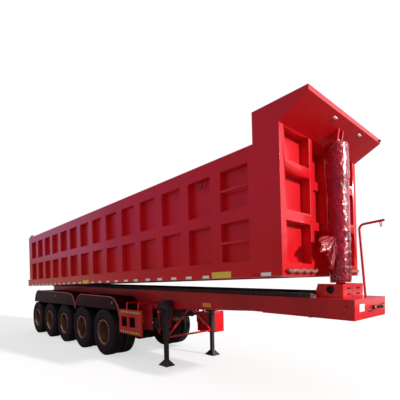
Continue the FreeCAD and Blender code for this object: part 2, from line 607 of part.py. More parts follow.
# Landing gear: two legs, their feet, a cross shaft and the braces between them.
def leg(side, sign):
    tube = box("LegTube" + side, ("leg_tube", "leg_tube", "leg_tube_high - leg_tube_low"),
               (f"{LEG_X} - leg_tube / 2", f"{sign}leg_side - leg_tube / 2", "leg_tube_low"))
    inside = box("LegInner" + side, ("leg_inner", "leg_inner", "leg_tube_low + 60 - foot_height"),
                 (f"{LEG_X} - leg_inner / 2", f"{sign}leg_side - leg_inner / 2", "foot_height"))
    sole = box("LegSole" + side, ("foot_length", "foot_width", "foot_plate"),
               (f"{LEG_X} - foot_length / 2", f"{sign}leg_side - foot_width / 2", 0))
    cone = doc.addObject("Part::Wedge", "LegFoot" + side)
    bind(cone, Xmin=0, Xmax="foot_length", Zmin=0, Zmax="foot_width", Ymin=0,
         Ymax="foot_height - foot_plate", X2min="(foot_length - leg_inner) / 2",
         X2max="(foot_length + leg_inner) / 2", Z2min="(foot_width - leg_inner) / 2",
         Z2max="(foot_width + leg_inner) / 2")
    cone.Placement.Rotation = Rotation(Vector(1, 0, 0), 90)
    place(cone, f"{LEG_X} - foot_length / 2", f"{sign}leg_side + foot_width / 2", "foot_plate")
    web_plate = box("LegPlate" + side, ("leg_tube + 90", "leg_side - beam_side - leg_tube / 2",
                                        "300"),
                    (f"{LEG_X} - leg_tube / 2 - 45",
                     "-leg_side + leg_tube / 2" if sign else "beam_side", "leg_tube_high - 300"))
    return join("Leg" + side, [tube, inside, sole, cone, web_plate])


on_frame("landing_legs", group("LandingLegs", [leg("Right", "-"), leg("Left", "")]))
on_frame("landing_shaft", group("LandingShaft", [
    rod("LandingShaftBar", "shaft_radius", "2 * leg_side - leg_tube",
        (f"{LEG_X} + shaft_shift", "-leg_side + leg_tube / 2", "shaft_z"), "Y")]))
bar_y = "(leg_side - leg_tube / 2)"
bar = box("BraceBar", ("brace_size", f"2 * {bar_y}", "brace_size"),
          (f"{LEG_X} - brace_size / 2", f"-{bar_y}", "brace_z - brace_size / 2"))
vee_outline = [(f"-{bar_y}", "brace_z"), ("0", f"{UNDER_CROSS} - brace_size * 1.4"), (bar_y, "brace_z"),
               (bar_y, "brace_z + brace_size * 1.4"), ("brace_size", UNDER_CROSS), ("-brace_size", UNDER_CROSS),
               (f"-{bar_y}", "brace_z + brace_size * 1.4")]
vee = pad("BraceVee", "YZ", [vee_outline], "brace_size * 0.5")
place(vee, x=LEG_X)
on_frame("landing_braces", join("LandingBraces", [bar, vee]))

# Fenders: a folded sheet over each run of wheels, with a skirt along its outer edge.
LAST_AXLE = "(axle_first + (axle_count - 1) * axle_pitch)"
SPLIT = "(axle_first + 2.5 * axle_pitch + fender_shift)"
FENDER_TURNS = (0, 22.5, 45, 67.5, 90)


def fender_point(end, sign, angle):
    """A point of a fender's rounded end, from its tip at 0 degrees to its flat top at 90."""
    inward = "-" if sign else "+"
    return (f"{end} {inward} fender_slope * (1 - cos({angle} * 1 deg))",
            f"fender_top - fender_drop * (1 - sin({angle} * 1 deg))")


fenders = []
stays = {"Rear": (0.25, 1.95), "Front": (3.15, 4.15)}
for tag, rear, front in (("Rear", "(axle_first - fender_end)", f"({SPLIT} - fender_gap / 2)"),
                         ("Front", f"({SPLIT} + fender_gap / 2)", f"({LAST_AXLE} + fender_front)")):
    high = [fender_point(rear, "", angle) for angle in FENDER_TURNS]
    high += [fender_point(front, "-", angle) for angle in reversed(FENDER_TURNS)]
    sheet_outline = high + [(x, f"{z} - fender_plate") for x, z in reversed(high)]
    top = pad("Fender" + tag, "XZ", [sheet_outline], "fender_side - fender_inner")
    place(top, y="-(fender_side + fender_inner) / 2")
    skirt_outline = high + [(f"{front} - fender_slope * 0.35", "fender_top - fender_skirt"),
                            (f"{rear} + fender_slope * 0.35", "fender_top - fender_skirt")]
    skirt = pad("Skirt" + tag, "XZ", [skirt_outline], "fender_plate")
    place(skirt, y="-fender_side + fender_plate / 2")
    arms = [box(f"Stay{tag}{k}", ("stay_width", "fender_side - fender_plate - beam_side", "stay_depth"),
                (f"axle_first + {share} * axle_pitch - stay_width / 2", "-fender_side + fender_plate",
                 "fender_top - fender_plate - stay_depth")) for k, share in enumerate(stays[tag])]
    fenders.append(join("FenderJoined" + tag, [top, skirt] + arms))
fender_right = group("FendersRight", fenders)
on_lean("fenders", group("Fenders", [fender_right, mirror("FendersLeft", fender_right)]))

# Side guards: a plate with windows, hung from the beam by hoops. The toolbox shortens the left one.
LEFT_GUARD = f"({BOX_X} - box_clear - {GUARD_REAR})"


def side_guard(side, length, count):
    windows = [block(f"{GUARD_REAR} + window_margin + {i} * window_pitch",
                     "guard_low + (guard_height - window_height) / 2",
                     f"{GUARD_REAR} + window_margin + window_length + {i} * window_pitch",
                     "guard_low + (guard_height + window_height) / 2") for i in range(count)]
    plate = pad("GuardPlate" + side, "XZ", [block(GUARD_REAR, "guard_low", f"{GUARD_REAR} + {length}",
                                                  "guard_low + guard_height")] + windows, "guard_plate")
    parts = [place(plate, y="-guard_side + guard_plate / 2")]
    hoop_y = "(-guard_side + guard_plate + hoop_radius * 0.6)"
    for i in range(2):
        x = f"({GUARD_REAR} + {length} * ({i} * 0.5 + 0.33))"
        parts.append(rod(f"Hoop{side}{i}", "hoop_radius",
                         "hoop_rise + guard_height / 2 + 1.2 * hoop_radius"
                         if count > 1 else "hoop_rise + 1.2 * hoop_radius + window_margin",
                         (x, hoop_y, "guard_low + guard_height / 2" if count > 1
                          else "guard_low + guard_height - window_margin")))
        parts.append(rod(f"HoopArm{side}{i}", "hoop_radius * 0.9", f"-beam_side - {hoop_y}",
                         (x, hoop_y, "guard_low + guard_height + hoop_rise"), "Y"))
    return join("SideGuard" + side, parts)


on_frame("side_guards", group("SideGuards", [
    side_guard("Right", "guard_length", 2),
    mirror("SideGuardLeft", side_guard("Short", LEFT_GUARD, 1))]))

# Toolbox on the left, with a door that drops open.
box_front = f"({BOX_X} + box_length)"
case = box("ToolCase", ("box_length", "box_width", "box_height"),
           (BOX_X, "box_side - box_door - box_gap - box_width", "box_low"))
room = box("ToolRoom", ("box_length - 2 * box_wall", "box_width", "box_height - 2 * box_wall"),
           (f"{BOX_X} + box_wall", "box_side - box_door - box_gap - box_width + box_wall",
            "box_low + box_wall"))
hangers = []
for i in range(2):
    x = f"({BOX_X} + bracket_inset + {i} * (box_length - 2 * bracket_inset - bracket_width))"
    hangers.append(join(f"ToolHanger{i}", [
        box(f"ToolHangerUp{i}", ("bracket_width", "box_wall", "bracket_height"),
            (x, "beam_side", "box_low + box_height")),
        box(f"ToolHangerArm{i}", ("bracket_width", "box_side - box_door - box_gap - beam_side",
                                  "box_wall"), (x, "beam_side", "box_low + box_height"))]))
pin_y = "(box_side - box_door / 2)"
pin_z = "(box_low + box_height + box_knuckle)"
knuckles = []
for i in range(2):
    x = f"({BOX_X} + {i} * (box_length - box_knuckle_length))"
    knuckles.append(rod(f"ToolKnuckle{i}", "box_knuckle", "box_knuckle_length", (x, pin_y, pin_z), "X"))
    knuckles.append(box(f"ToolKnuckleFoot{i}", ("box_knuckle_length", "box_door / 2 + box_gap + box_width / 9",
                                                "box_knuckle"),
                        (x, f"{pin_y} - box_door / 2 - box_gap - box_width / 9", "box_low + box_height")))
knuckles.append(rod("ToolPin", "box_pin", "box_length", (BOX_X, pin_y, pin_z), "X"))
on_frame("toolbox", join("Toolbox", [cut("ToolCaseOpen", case, room)] + hangers + knuckles))
door_knuckle = "(box_length / 3)"
door_x = f"({BOX_X} + (box_length - {door_knuckle}) / 2)"
door = join("ToolDoorRaw", [
    box("ToolDoorSheet", ("box_length", "box_door", "box_height - box_lip"),
        (BOX_X, "box_side - box_door", "box_low")),
    box("ToolDoorTab", (door_knuckle, "box_door", "box_knuckle + box_lip"),
        (door_x, "box_side - box_door", f"{pin_z} - box_knuckle - box_lip")),
    rod("ToolDoorKnuckle", "box_knuckle", door_knuckle, (door_x, pin_y, pin_z), "X")])
on_frame("toolbox_door", cut("ToolboxDoor", door, rod("ToolDoorBore", "box_pin + hinge_play",
                                                      "box_length", (BOX_X, pin_y, pin_z), "X")))

# Running gear: axles, leaf springs and the hangers that hold them.
TWIN_Y = "(wheel_outer - tyre_width / 2 - twin_pitch / 2)"
axles = []
springs = []
for i in range(VALUES["axle_count"]):
    x = f"(axle_first + {i} * axle_pitch)"
    axles.append(join(f"Axle{i}", [
        box(f"AxleTube{i}", ("axle_size", f"2 * ({TWIN_Y} - 160)", "axle_size"),
            (f"{x} - axle_size / 2", f"-{TWIN_Y} + 160", "tyre_radius - axle_size / 2")),
        rod(f"AxleShaft{i}", "45", f"2 * ({TWIN_Y} + 40)", (x, f"-{TWIN_Y} - 40", "tyre_radius"), "Y")]))
    half = "(axle_pitch / 2 - spring_end)"
    low = [(f"-{half}", "134"), ("-150", "0"), ("150", "0"), (half, "134")]
    high = [(half, "150"), ("150", "80"), ("-150", "80"), (f"-{half}", "150")]
    for side, sign in (("Right", "-"), ("Left", "")):
        pack = pad(f"Spring{side}{i}", "XZ", [low + high], "leaf_width")
        springs.append(place(pack, x, f"{sign}spring_side", "tyre_radius + axle_size / 2"))
on_frame("axles", group("Axles", axles))
on_frame("leaf_springs", group("LeafSprings", springs))
SPRING_TOP = "(tyre_radius + axle_size / 2 + 150)"
hangers = []
for i in range(VALUES["axle_count"] + 1):
    shift = "" if i else " + hanger_shift"
    at_x, at_z = level_place(f"(axle_first + ({i} - 0.5) * axle_pitch{shift})", SPRING_TOP)
    reach = "hanger_length / 2" if i else "(spring_end - hanger_shift)"
    foot = f"({at_z} + {reach} * {FALL} + hanger_gap)"
    for side, sign in (("Right", "-"), ("Left", "")):
        hangers.append(box(f"Hanger{side}{i}", ("hanger_length", "hanger_width", f"{BEAM_LOW} - {foot}"),
                           (f"{at_x} - hanger_length / 2", f"{sign}spring_side - hanger_width / 2", foot)))
on_lean("spring_hangers", group("SpringHangers", hangers))

# Air tanks under the frame.
tanks = [rod(f"Tank{i}", "tank_radius", "tank_length",
             (TANK_X, y, f"{UNDER_CROSS} - tank_radius"), "X")
         for i, y in enumerate((-200, 200))]
on_lean("air_tanks", group("AirTanks", tanks))

# Rear guard with the tail lamps.
guard_stay = [("bumper_x", "bumper_z - bumper_size / 2"),
              ("bumper_x + bumper_size", "bumper_z - bumper_size / 2"),
              ("tail_rear + 3 * stay_step", BEAM_LOW), ("tail_rear + stay_step", BEAM_LOW)]
stays = [place(pad("RearGuardStay" + side, "XZ", [guard_stay], "stay_depth"), y=y)
         for side, y in (("Right", "-beam_side + stay_depth / 2"), ("Left", "beam_side - stay_depth / 2"))]
on_lean("rear_guard", join("RearGuard", [
    box("RearGuardBar", ("bumper_size", "2 * bumper_half", "bumper_size"),
        ("bumper_x", "-bumper_half", "bumper_z - bumper_size / 2"))] + stays))
lamps = [box(f"Lamp{i}", ("lamp_depth", "lamp_size * 2", "lamp_size * 0.8"),
             ("bumper_x - lamp_depth", y, "bumper_z - lamp_size * 0.4"))
         for i, y in enumerate(("-bumper_half + lamp_end", "bumper_half - lamp_end - lamp_size * 2"))]
on_lean("tail_lamps", group("TailLamps", lamps))

# Bed: side walls pressed into recesses between posts, with the headboard's cheeks.
wall_rear = "(gate_depth + gate_gap)"
wall_front = "(bed_length - front_depth)"
wall = pad("BedSide", "XZ", [[(wall_rear, 0), (wall_front, 0), (wall_front, HEAD_TOP),
                              ("bed_length - head_length", HEAD_TOP),
                              ("bed_length - head_length", "wall_height"),
                              (wall_rear, "wall_height")]], "wall_depth", middle=False)
high_low = "(rail_low + recess_low + rail_mid)"
recess = pocket(wall, "XZ", "SideRecess", [
    block("recess_first", "rail_low", "recess_first + recess_width", "rail_low + recess_low"),
    block("recess_first", high_low, "recess_first + recess_width", f"{high_low} + recess_high")],
    "recess_depth", out="wall_depth")
repeat(wall, recess, "SideRecesses", f"{PITCH} * (recess_count - 1)", "recess_count")
side_wall = group("BedSideRight", [place(wall, y=f"-{INSIDE}")])
side_right = on_bed("bed_side_right", side_wall)
add_node(mirror("BedSideLeft", side_right), "bed_side_left")

# Front wall: posts and bars before a plate, with a well in the middle for the leaning cylinder.
front = pad("FrontWall", "YZ", [block("-bed_side", 0, "bed_side", HEAD_TOP)], "front_depth", middle=False)
rows = [("sill_front", "bar_low"), ("bar_low + bar_height", "bar_high"),
        ("bar_high + bar_height", "hood_under")]
post_out = "(inner_post_side + inner_post / 2)"
columns = [("-bed_side + front_post", f"-{post_out}"), (post_out, "bed_side - front_post")]
panels = [block(left, low, right, high) for low, high in rows for left, right in columns]
pocket(front, "YZ", "FrontPanels", panels, "front_depth - front_skin", out="front_depth")
pocket(front, "YZ", "FrontWell", [block("-well_side", 0, "well_side", "hood_under")], "front_depth",
       out="front_depth")
WELL_BACK = "(bed_length - well_depth)"
WELL_FOOT = "(bed_length - well_foot)"
WELL_GRIP = f"({wall_front} + front_skin)"
face_line = [(WELL_FOOT, 0), (WELL_BACK, "bar_low"), (WELL_BACK, "hood_under")]
back_line = [(WELL_GRIP, "hood_under + well_plate"), (f"{WELL_BACK} - well_plate", "hood_under + well_plate"),
             (f"{WELL_BACK} - well_plate", "bar_low"), (f"{WELL_FOOT} - well_plate", 0)]
cheek_line = [(f"{WELL_FOOT} - well_plate", 0), (WELL_GRIP, 0), (WELL_GRIP, "hood_under + well_plate")]
well = [pad("WellBack", "XZ", [face_line + [(WELL_GRIP, "hood_under")] + back_line],
            "2 * well_side + well_plate")]
for side, shift in (("Right", "-well_side - well_plate / 2"), ("Left", "well_side + well_plate / 2")):
    cheek = pad("WellCheek" + side, "XZ", [cheek_line + back_line[1:3]], "well_plate")
    well.append(place(cheek, y=shift))
well += [box(f"WellBar{i}", ("well_bar + well_plate / 2", "2 * well_side + well_plate", "bar_height"),
             (f"{WELL_BACK} - well_plate / 2", "-well_side - well_plate / 2", low))
         for i, low in enumerate(("bar_low", "bar_high"))]
on_bed("bed_front_wall", join("BedFrontWall", [place(front, x=wall_front)] + well))

# Hood over the cylinder: a wedge before the wall and a roof over the cheeks.
hood = pad("HoodWedge", "XZ", [[("bed_length", "hood_under"),
                                ("bed_length + hood_reach", f"{HEAD_TOP} - hood_lip"),
                                ("bed_length + hood_reach", HEAD_TOP), ("bed_length", HEAD_TOP)]],
           "2 * bed_side")
roof = box("HoodRoof", ("head_length + hood_reach", "2 * bed_side", "hood_plate"),
           ("bed_length - head_length", "-bed_side", HEAD_TOP))
on_bed("hood", join("Hood", [hood, roof]))

# Floor, notched for the well, and its tail.
floor_low = "(floor_top - floor_plate)"
deck = box("FloorPlate", (f"apron_length + {wall_front}", f"2 * {INSIDE}", "floor_plate"),
           ("-apron_length", f"-{INSIDE}", floor_low))
WELL_SLOPE = "((well_foot - well_depth) / bar_low)"
notch = box("FloorNotch", ("well_foot", "2 * (well_side + well_plate)", "3 * floor_plate"),
            (f"{WELL_FOOT} - well_plate + {floor_low} * {WELL_SLOPE}", "-well_side - well_plate",
             f"{floor_low} - floor_plate"))
tail = box("FloorTail", (f"apron_length + {wall_rear}", "2 * bed_side", floor_low),
           ("-apron_length", "-bed_side", 0))
on_bed("bed_floor", join("BedFloor", [cut("FloorDeck", deck, notch), tail]))

# Sills under the bearers, with the ears that turn on the hinge shaft.
sill_height = f"({floor_low} - bearer_depth + sill_drop)"
sills = []
for side, sign in (("Right", "-"), ("Left", "")):
    y = f"{sign}{EAR_Y} - ear_thick / 2"
    ear = join("BedEarRaw" + side, [
        box("Sill" + side, (f"{wall_front} - {wall_rear}", "sill_width", sill_height),
            (wall_rear, f"{sign}{EAR_Y} - sill_width / 2", "-sill_drop")),
        rod("BedEarRound" + side, "ear_radius", "ear_thick", ("hinge_x", y, f"-{SEAT}"), "Y"),
        box("BedEarNeck" + side, ("2 * ear_neck", "ear_thick", f"{SEAT} - sill_drop"),
            ("hinge_x - ear_neck", y, f"-{SEAT}"))])
    sills.append(cut("BedSill" + side, ear, rod("BedEarBore" + side, "hinge_radius + hinge_play",
                                                "3 * ear_thick", ("hinge_x", f"{y} - ear_thick",
                                                                  f"-{SEAT}"), "Y")))
on_bed("bed_sills", group("BedSills", sills))
bearers = [box(f"Bearer{i}", ("bearer_width", f"2 * {INSIDE}", "bearer_depth"),
               (f"recess_first + {i} * {PITCH}", f"-{INSIDE}", f"{floor_low} - bearer_depth"))
           for i in range(VALUES["recess_count"])]
on_bed("bed_bearers", group("BedBearers", bearers))

# Bracket under the hood for the cylinder's upper end.
hook_low = f"({EYE_Z} - hook_drop)"
hook_outline = [(f"{EYE_X} - hook_low_half", hook_low), (f"{EYE_X} + hook_low_half", hook_low),
                (f"{EYE_X} + hook_half", f"hood_under + (eye_reach + hook_half) * {HOOD_SLOPE}"),
                (f"{EYE_X} - hook_half", f"hood_under + (eye_reach - hook_half) * {HOOD_SLOPE}")]
hooks = []
for side, y in (("Right", f"-{LUG_Y} - ear_thick / 2"), ("Left", f"{LUG_Y} + ear_thick / 2")):
    plate = pad("Hook" + side, "XZ", [hook_outline], "ear_thick")
    place(plate, y=y)
    hooks.append(cut("HookOpen" + side, plate,
                     rod("HookBore" + side, "lift_pin", "3 * ear_thick",
                         (EYE_X, f"{y} - 1.5 * ear_thick", EYE_Z), "Y")))
on_bed("lift_hook", group("LiftHook", hooks))

# Tailgate, hung from pins above the top rail.
GATE_HINGE_X = "(gate_depth - gate_pin)"
GATE_HINGE_Z = "(wall_height + gate_hinge_rise)"
gate = pad("Gate", "YZ", [block("-bed_side", "gate_low", "bed_side", "wall_height")], "gate_depth",
           middle=False)
gate_rows = [("gate_low + 120", "gate_low + 120 + 650"), ("wall_height - 120 - 650", "wall_height - 120")]
gate_panels = [block(f"-bed_side + 120 + {k} * (2 * bed_side - 240 + 100) / 4", low,
                     f"-bed_side + 120 + {k} * (2 * bed_side - 240 + 100) / 4"
                     " + (2 * bed_side - 240 + 100) / 4 - 100", high)
               for low, high in gate_rows for k in range(4)]
pocket(gate, "YZ", "GatePanels", gate_panels, "gate_depth - 12", out=0).Reversed = True
lugs = []
for side, sign in (("Right", "-"), ("Left", "")):
    lugs.append(box("GateLug" + side, ("gate_depth", "60", "gate_hinge_rise + gate_pin + pin_cover"),
                    (0, f"{sign}(bed_side - 60 - wall_depth) - 30", "wall_height")))
bores = [rod("GateBore" + side, "gate_pin + hinge_play", "200",
             (GATE_HINGE_X, f"{sign}(bed_side - 60 - wall_depth) - 100", GATE_HINGE_Z), "Y")
         for side, sign in (("Right", "-"), ("Left", ""))]
on_bed("tailgate", cut("Tailgate", join("GateRaw", [gate] + lugs), join("GateBores", bores)))
pins = []
for side, sign, out in (("Right", "-", 1), ("Left", "", 0)):
    arm = join("GateArm" + side, [
        box("GateArmBar" + side, ("280", "50", "2 * (gate_pin + pin_cover)"),
            (GATE_HINGE_X, f"{sign}(bed_side - 60) - 25", f"{GATE_HINGE_Z} - gate_pin - pin_cover")),
        rod("GateArmEye" + side, "gate_pin + pin_cover", "50",
            (GATE_HINGE_X, f"{sign}(bed_side - 60) - 25", GATE_HINGE_Z), "Y")])
    pin = rod("GatePin" + side, "gate_pin", "180",
              (GATE_HINGE_X, f"{sign}(bed_side - 60 - wall_depth / 2) - 90", GATE_HINGE_Z), "Y")
    foot = box("GateFoot" + side, ("150", "80", "gate_hinge_rise - gate_pin - pin_cover"),
               (f"{wall_rear} + 60", f"{sign}(bed_side - 60) - 40", "wall_height"))
    pins.append(join("GateHinge" + side, [arm, pin, foot]))
on_bed("gate_hinges", group("GateHinges", pins))

# Cylinder: a barrel and five stages, each with a piston ring below and a gland ring above.
BARREL_TOP = f"({LIFT_LENGTH} - barrel_top_gap)"
barrel = turned("BarrelTube", [[
    ("0", "barrel_bottom"), ("barrel_radius", "barrel_bottom"), ("barrel_radius", BARREL_TOP),
    ("barrel_radius - stage_step + stage_play", BARREL_TOP),
    ("barrel_radius - stage_step + stage_play", f"{BARREL_TOP} - gland_height"),
    ("barrel_radius - tube_wall", f"{BARREL_TOP} - gland_height"),
    ("barrel_radius - tube_wall", "barrel_bottom + 30"), ("0", "barrel_bottom + 30")]], "Z")
base = join("BarrelRaw", [barrel, box("BarrelNeck", ("2 * eye_radius", "eye_width", "barrel_bottom"),
                                      ("-eye_radius", "-eye_width / 2", 0)),
                          rod("BarrelEye", "eye_radius", "eye_width", (0, "-eye_width / 2", 0), "Y")])
on_lift("lift_barrel", cut("Barrel", base, rod("BarrelBore", "lift_pin + pin_play", "2 * eye_width",
                                               (0, "-eye_width", 0), "Y")))
on_lift("lift_film", group("LiftFilm", [turned("FilmSleeve", [[
    ("barrel_radius + wrap_gap", "wrap_low"), ("barrel_radius + wrap_gap + wrap_thick", "wrap_low"),
    ("barrel_radius + wrap_gap + wrap_thick", f"{BARREL_TOP} - 30"),
    ("barrel_radius + wrap_gap", f"{BARREL_TOP} - 30")]], "Z")]))
last_stage = VALUES["stage_count"]
for i in range(1, last_stage + 1):
    out = f"(barrel_radius - {i} * stage_step)"
    low = f"(barrel_bottom + 50 + {i} * stage_bottom)"
    top = f"({BARREL_TOP} + {i} * stage_show{' + cap_shoulder' if i == last_stage else ''})"
    ring = f"({out} + stage_step - tube_wall - stage_play)"
    foot = [("0", low), (ring, low), (ring, f"{low} + stage_foot"), (out, f"{low} + stage_foot"),
            (out, top)]
    if i < last_stage:
        inner = [(f"{out} - stage_step + stage_play", top),
                 (f"{out} - stage_step + stage_play", f"{top} - gland_height"),
                 (f"{out} - tube_wall", f"{top} - gland_height"),
                 (f"{out} - tube_wall", f"{low} + tube_floor"), ("0", f"{low} + tube_floor")]
        on_lift(f"lift_stage_{i}", group(f"Stage{i}", [turned(f"StageTube{i}", [foot + inner], "Z")]))
    else:
        rod_end = join("RodRaw", [
            turned("RodTube", [foot + [("0", top)]], "Z"),
            rod("RodNeck", "eye_width * 0.4", f"{LIFT_LENGTH} - {top}", (0, 0, top)),
            rod("RodEye", "eye_radius", "eye_width", (0, "-eye_width / 2", LIFT_LENGTH), "Y"),
            rod("RodPin", "lift_pin", "eye_width + ear_gap",
                (0, "-(eye_width + ear_gap) / 2", LIFT_LENGTH), "Y")])
        on_lift(f"lift_stage_{i}", rod_end)
        inside = "(barrel_radius + wrap_gap + wrap_thick + cap_gap)"
        cap_top = f"({top} - cap_drop)"
        cap_low = f"({LIFT_LENGTH} - cap_low)"
        on_lift("lift_film_top", group("LiftFilmTop", [turned("FilmCap", [[
            (f"{out} + wrap_gap", cap_top), (f"{out} + wrap_gap", f"{cap_top} - cap_thick"),
            (inside, f"{cap_top} - cap_thick"), (inside, cap_low), (f"{inside} + cap_thick", cap_low),
            (f"{inside} + cap_thick", cap_top)]], "Z")]))

# Wheels: twin tyres on twin rims, turning together on one hub.
tyre_half = "(tyre_width / 2)"
def tyre_outline(shift):
    return [("rim_radius", f"{shift} - {tyre_half} + 20"), ("rim_radius + 70", f"{shift} - {tyre_half}"),
            ("tyre_radius - 60", f"{shift} - {tyre_half}"), ("tyre_radius", f"{shift} - {tyre_half} + 50"),
            ("tyre_radius", f"{shift} + {tyre_half} - 50"), ("tyre_radius - 60", f"{shift} + {tyre_half}"),
            ("rim_radius + 70", f"{shift} + {tyre_half}"), ("rim_radius", f"{shift} + {tyre_half} - 20")]


rim_edge = "(rim_radius - 0.5)"
def rim_outline(sign):
    edge = f"{sign}(twin_pitch / 2 + tyre_width / 2 - 20)"
    return [(rim_edge, edge), (rim_edge, f"{sign}42"), ("215", f"{sign}0.2"), ("hub_radius", f"{sign}0.2"),
            ("hub_radius", f"{sign}14"), ("208", f"{sign}14"), (f"{rim_edge} - 14", f"{sign}50"),
            (f"{rim_edge} - 14", edge)]


for i in range(VALUES["axle_count"]):
    for side, sign in (("right", "-"), ("left", "")):
        x = f"(axle_first + {i} * axle_pitch + {MIDDLE})"
        tyres = turned(f"Tyres_{side}_{i}", [tyre_outline("-twin_pitch / 2"), tyre_outline("twin_pitch / 2")])
        discs = turned(f"Discs_{side}_{i}", [rim_outline("-"), rim_outline("")])
        outward = -1 if sign else 1
        hub = rod(f"Hub_{side}_{i}", "hub_radius", "270", (0, "-150" if not sign else "-120", 0), "Y")
        bore = rod(f"HubBore_{side}_{i}", "45 + hinge_play", "200", (0, "-155" if not sign else "-45", 0), "Y")
        rims = cut(f"Rims_{side}_{i}", join(f"RimsRaw_{side}_{i}", [discs, hub]), bore)
        for obj, name in ((tyres, "tyres"), (rims, "rims")):
            place(obj, x, f"{sign}{TWIN_Y}", "tyre_radius")
            add_node(obj, f"{name}_{side}_{i + 1}")

doc.recompute()
for obj in doc.Objects:
    if "Invalid" in obj.State or "Error" in obj.State:
        raise RuntimeError(f"{obj.Label} failed: {obj.State}")
os.makedirs("parts", exist_ok=True)
for node in NODES:
    shape = node.Shape
    if shape.isNull() or not shape.isValid() or not shape.Solids:
        raise RuntimeError(f"{node.Label} has no valid solid")
    shape.exportStep(f"parts/{node.Label}.step")
    size = shape.BoundBox
    print(f"{node.Label:22s} solids {len(shape.Solids):3d} volume {shape.Volume / 1e9:.4f} m3"
          f" x {size.XMin:.0f}..{size.XMax:.0f} y {size.YMin:.0f}..{size.YMax:.0f}"
          f" z {size.ZMin:.0f}..{size.ZMax:.0f}")
print("nodes", len(NODES))
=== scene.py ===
import json
import bmesh
import bpy
import numpy as np
from mathutils import Matrix, Vector

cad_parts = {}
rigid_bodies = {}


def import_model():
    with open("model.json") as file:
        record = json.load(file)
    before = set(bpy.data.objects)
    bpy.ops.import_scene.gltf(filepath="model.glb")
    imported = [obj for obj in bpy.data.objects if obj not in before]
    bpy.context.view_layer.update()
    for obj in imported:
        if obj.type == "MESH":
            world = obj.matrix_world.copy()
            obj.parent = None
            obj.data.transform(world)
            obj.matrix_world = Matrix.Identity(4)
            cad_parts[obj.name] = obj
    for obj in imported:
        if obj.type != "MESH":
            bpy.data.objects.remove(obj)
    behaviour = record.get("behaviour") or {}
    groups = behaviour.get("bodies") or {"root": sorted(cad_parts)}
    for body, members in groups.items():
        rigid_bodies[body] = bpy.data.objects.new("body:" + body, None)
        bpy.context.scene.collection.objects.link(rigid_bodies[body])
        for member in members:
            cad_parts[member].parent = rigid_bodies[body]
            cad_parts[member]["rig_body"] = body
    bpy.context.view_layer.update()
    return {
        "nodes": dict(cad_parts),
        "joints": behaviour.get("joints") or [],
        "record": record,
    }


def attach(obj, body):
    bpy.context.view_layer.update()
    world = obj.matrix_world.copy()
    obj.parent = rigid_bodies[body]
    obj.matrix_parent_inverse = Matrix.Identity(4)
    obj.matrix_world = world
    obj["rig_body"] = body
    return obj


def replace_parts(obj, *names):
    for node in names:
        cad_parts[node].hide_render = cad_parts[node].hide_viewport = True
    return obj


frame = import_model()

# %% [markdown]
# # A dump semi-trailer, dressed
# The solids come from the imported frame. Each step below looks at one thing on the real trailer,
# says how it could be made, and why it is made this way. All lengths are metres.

NODES = frame["nodes"]

# %% [markdown]
# ## Places on the trailer
# The frame stands nose down on its landing legs, the bed is tipped up a little, and the cylinder
# leans back. A piece could be drawn where it ends up, but then each of its numbers would hide those
# angles. So pieces are drawn level or upright, with x from the tailgate's rear face, and are turned
# as whole arrays into the place of the body that they ride on.

# %% Places
def joint(name):
    """One of the frame's joints by its name."""
    return next(j for j in frame["joints"] if j["name"] == name)


HINGE, LIFT = joint("bed_tilt")["pos_m"], joint("barrel_lean")["pos_m"]
LIFT_AXIS = joint("stage_1_slide")["axis"]
HINGE_AT = (0.700, 0.021)  # x, z of the rear hinge in the level bed
LEG_AT = (8.416, 0.0)  # x, z of the landing legs' feet in the level frame
TILT, LEAN = np.radians(0.5), np.radians(1.2)
MIDDLE = HINGE[0] - HINGE_AT[0]
SIDES = (("right", -1), ("left", 1))


def turned(points, pivot, sin, cos, start=(0.0, 0.0)):
    """x and z from a start point, turned and carried: pivot + (x cos - z sin, y, x sin + z cos)."""
    p = np.asarray(points, float).reshape(-1, 3)
    dx, dz = p[:, 0] - start[0], p[:, 2] - start[1]
    return np.column_stack([pivot[0] + dx * cos - dz * sin, p[:, 1],
                            pivot[2] + dx * sin + dz * cos])


def from_tail(points):
    """Points measured from the tailgate's rear face, moved into the frame's place."""
    return np.asarray(points, float) + [MIDDLE, 0, 0]


def on_bed(points):
    """Points drawn with the bed level, turned up about the rear hinge by the bed's rest angle."""
    return turned(points, HINGE, np.sin(TILT), np.cos(TILT), HINGE_AT)


def level_x(points):
    """How far forward points stand along the level bed: on_bed turned back."""
    dx, dz = points[:, 0] - HINGE[0], points[:, 2] - HINGE[2]
    return dx * np.cos(TILT) + dz * np.sin(TILT) + HINGE_AT[0]


def on_lean(points):
    """Points drawn with the frame level, leaned forward about the landing legs' feet."""
    return turned(points, (MIDDLE + LEG_AT[0], 0, 0), -np.sin(LEAN), np.cos(LEAN), LEG_AT)


def on_lift(points):
    """Points drawn upright from the cylinder's lower pivot, leaned back along its axis."""
    return turned(points, LIFT, -LIFT_AXIS[0], LIFT_AXIS[2])


print("rear hinge", HINGE, "cylinder's pivot", LIFT)

# %% [markdown]
# ## From arrays to pieces
# Blender's operators can make primitives, but points and faces as arrays are easier to place,
# repeat and join. Every new piece below comes through these helpers.

# %% Pieces
def linked(name, data):
    """A new object of some data, put in the scene."""
    obj = bpy.data.objects.new(name, data)
    bpy.context.scene.collection.objects.link(obj)
    return obj


def piece(name, verts, faces, material, body, smooth=35):
    """A mesh object that rides on a body: vertices and faces as arrays, smooth below an angle."""
    mesh = bpy.data.meshes.new(name)
    mesh.from_pydata(np.asarray(verts, float).tolist(), [], [list(map(int, f)) for f in faces])
    mesh.update()
    mesh.materials.append(material)
    if smooth:
        mesh.shade_smooth()
        mesh.set_sharp_from_angle(angle=np.radians(smooth))
    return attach(linked(name, mesh), body)


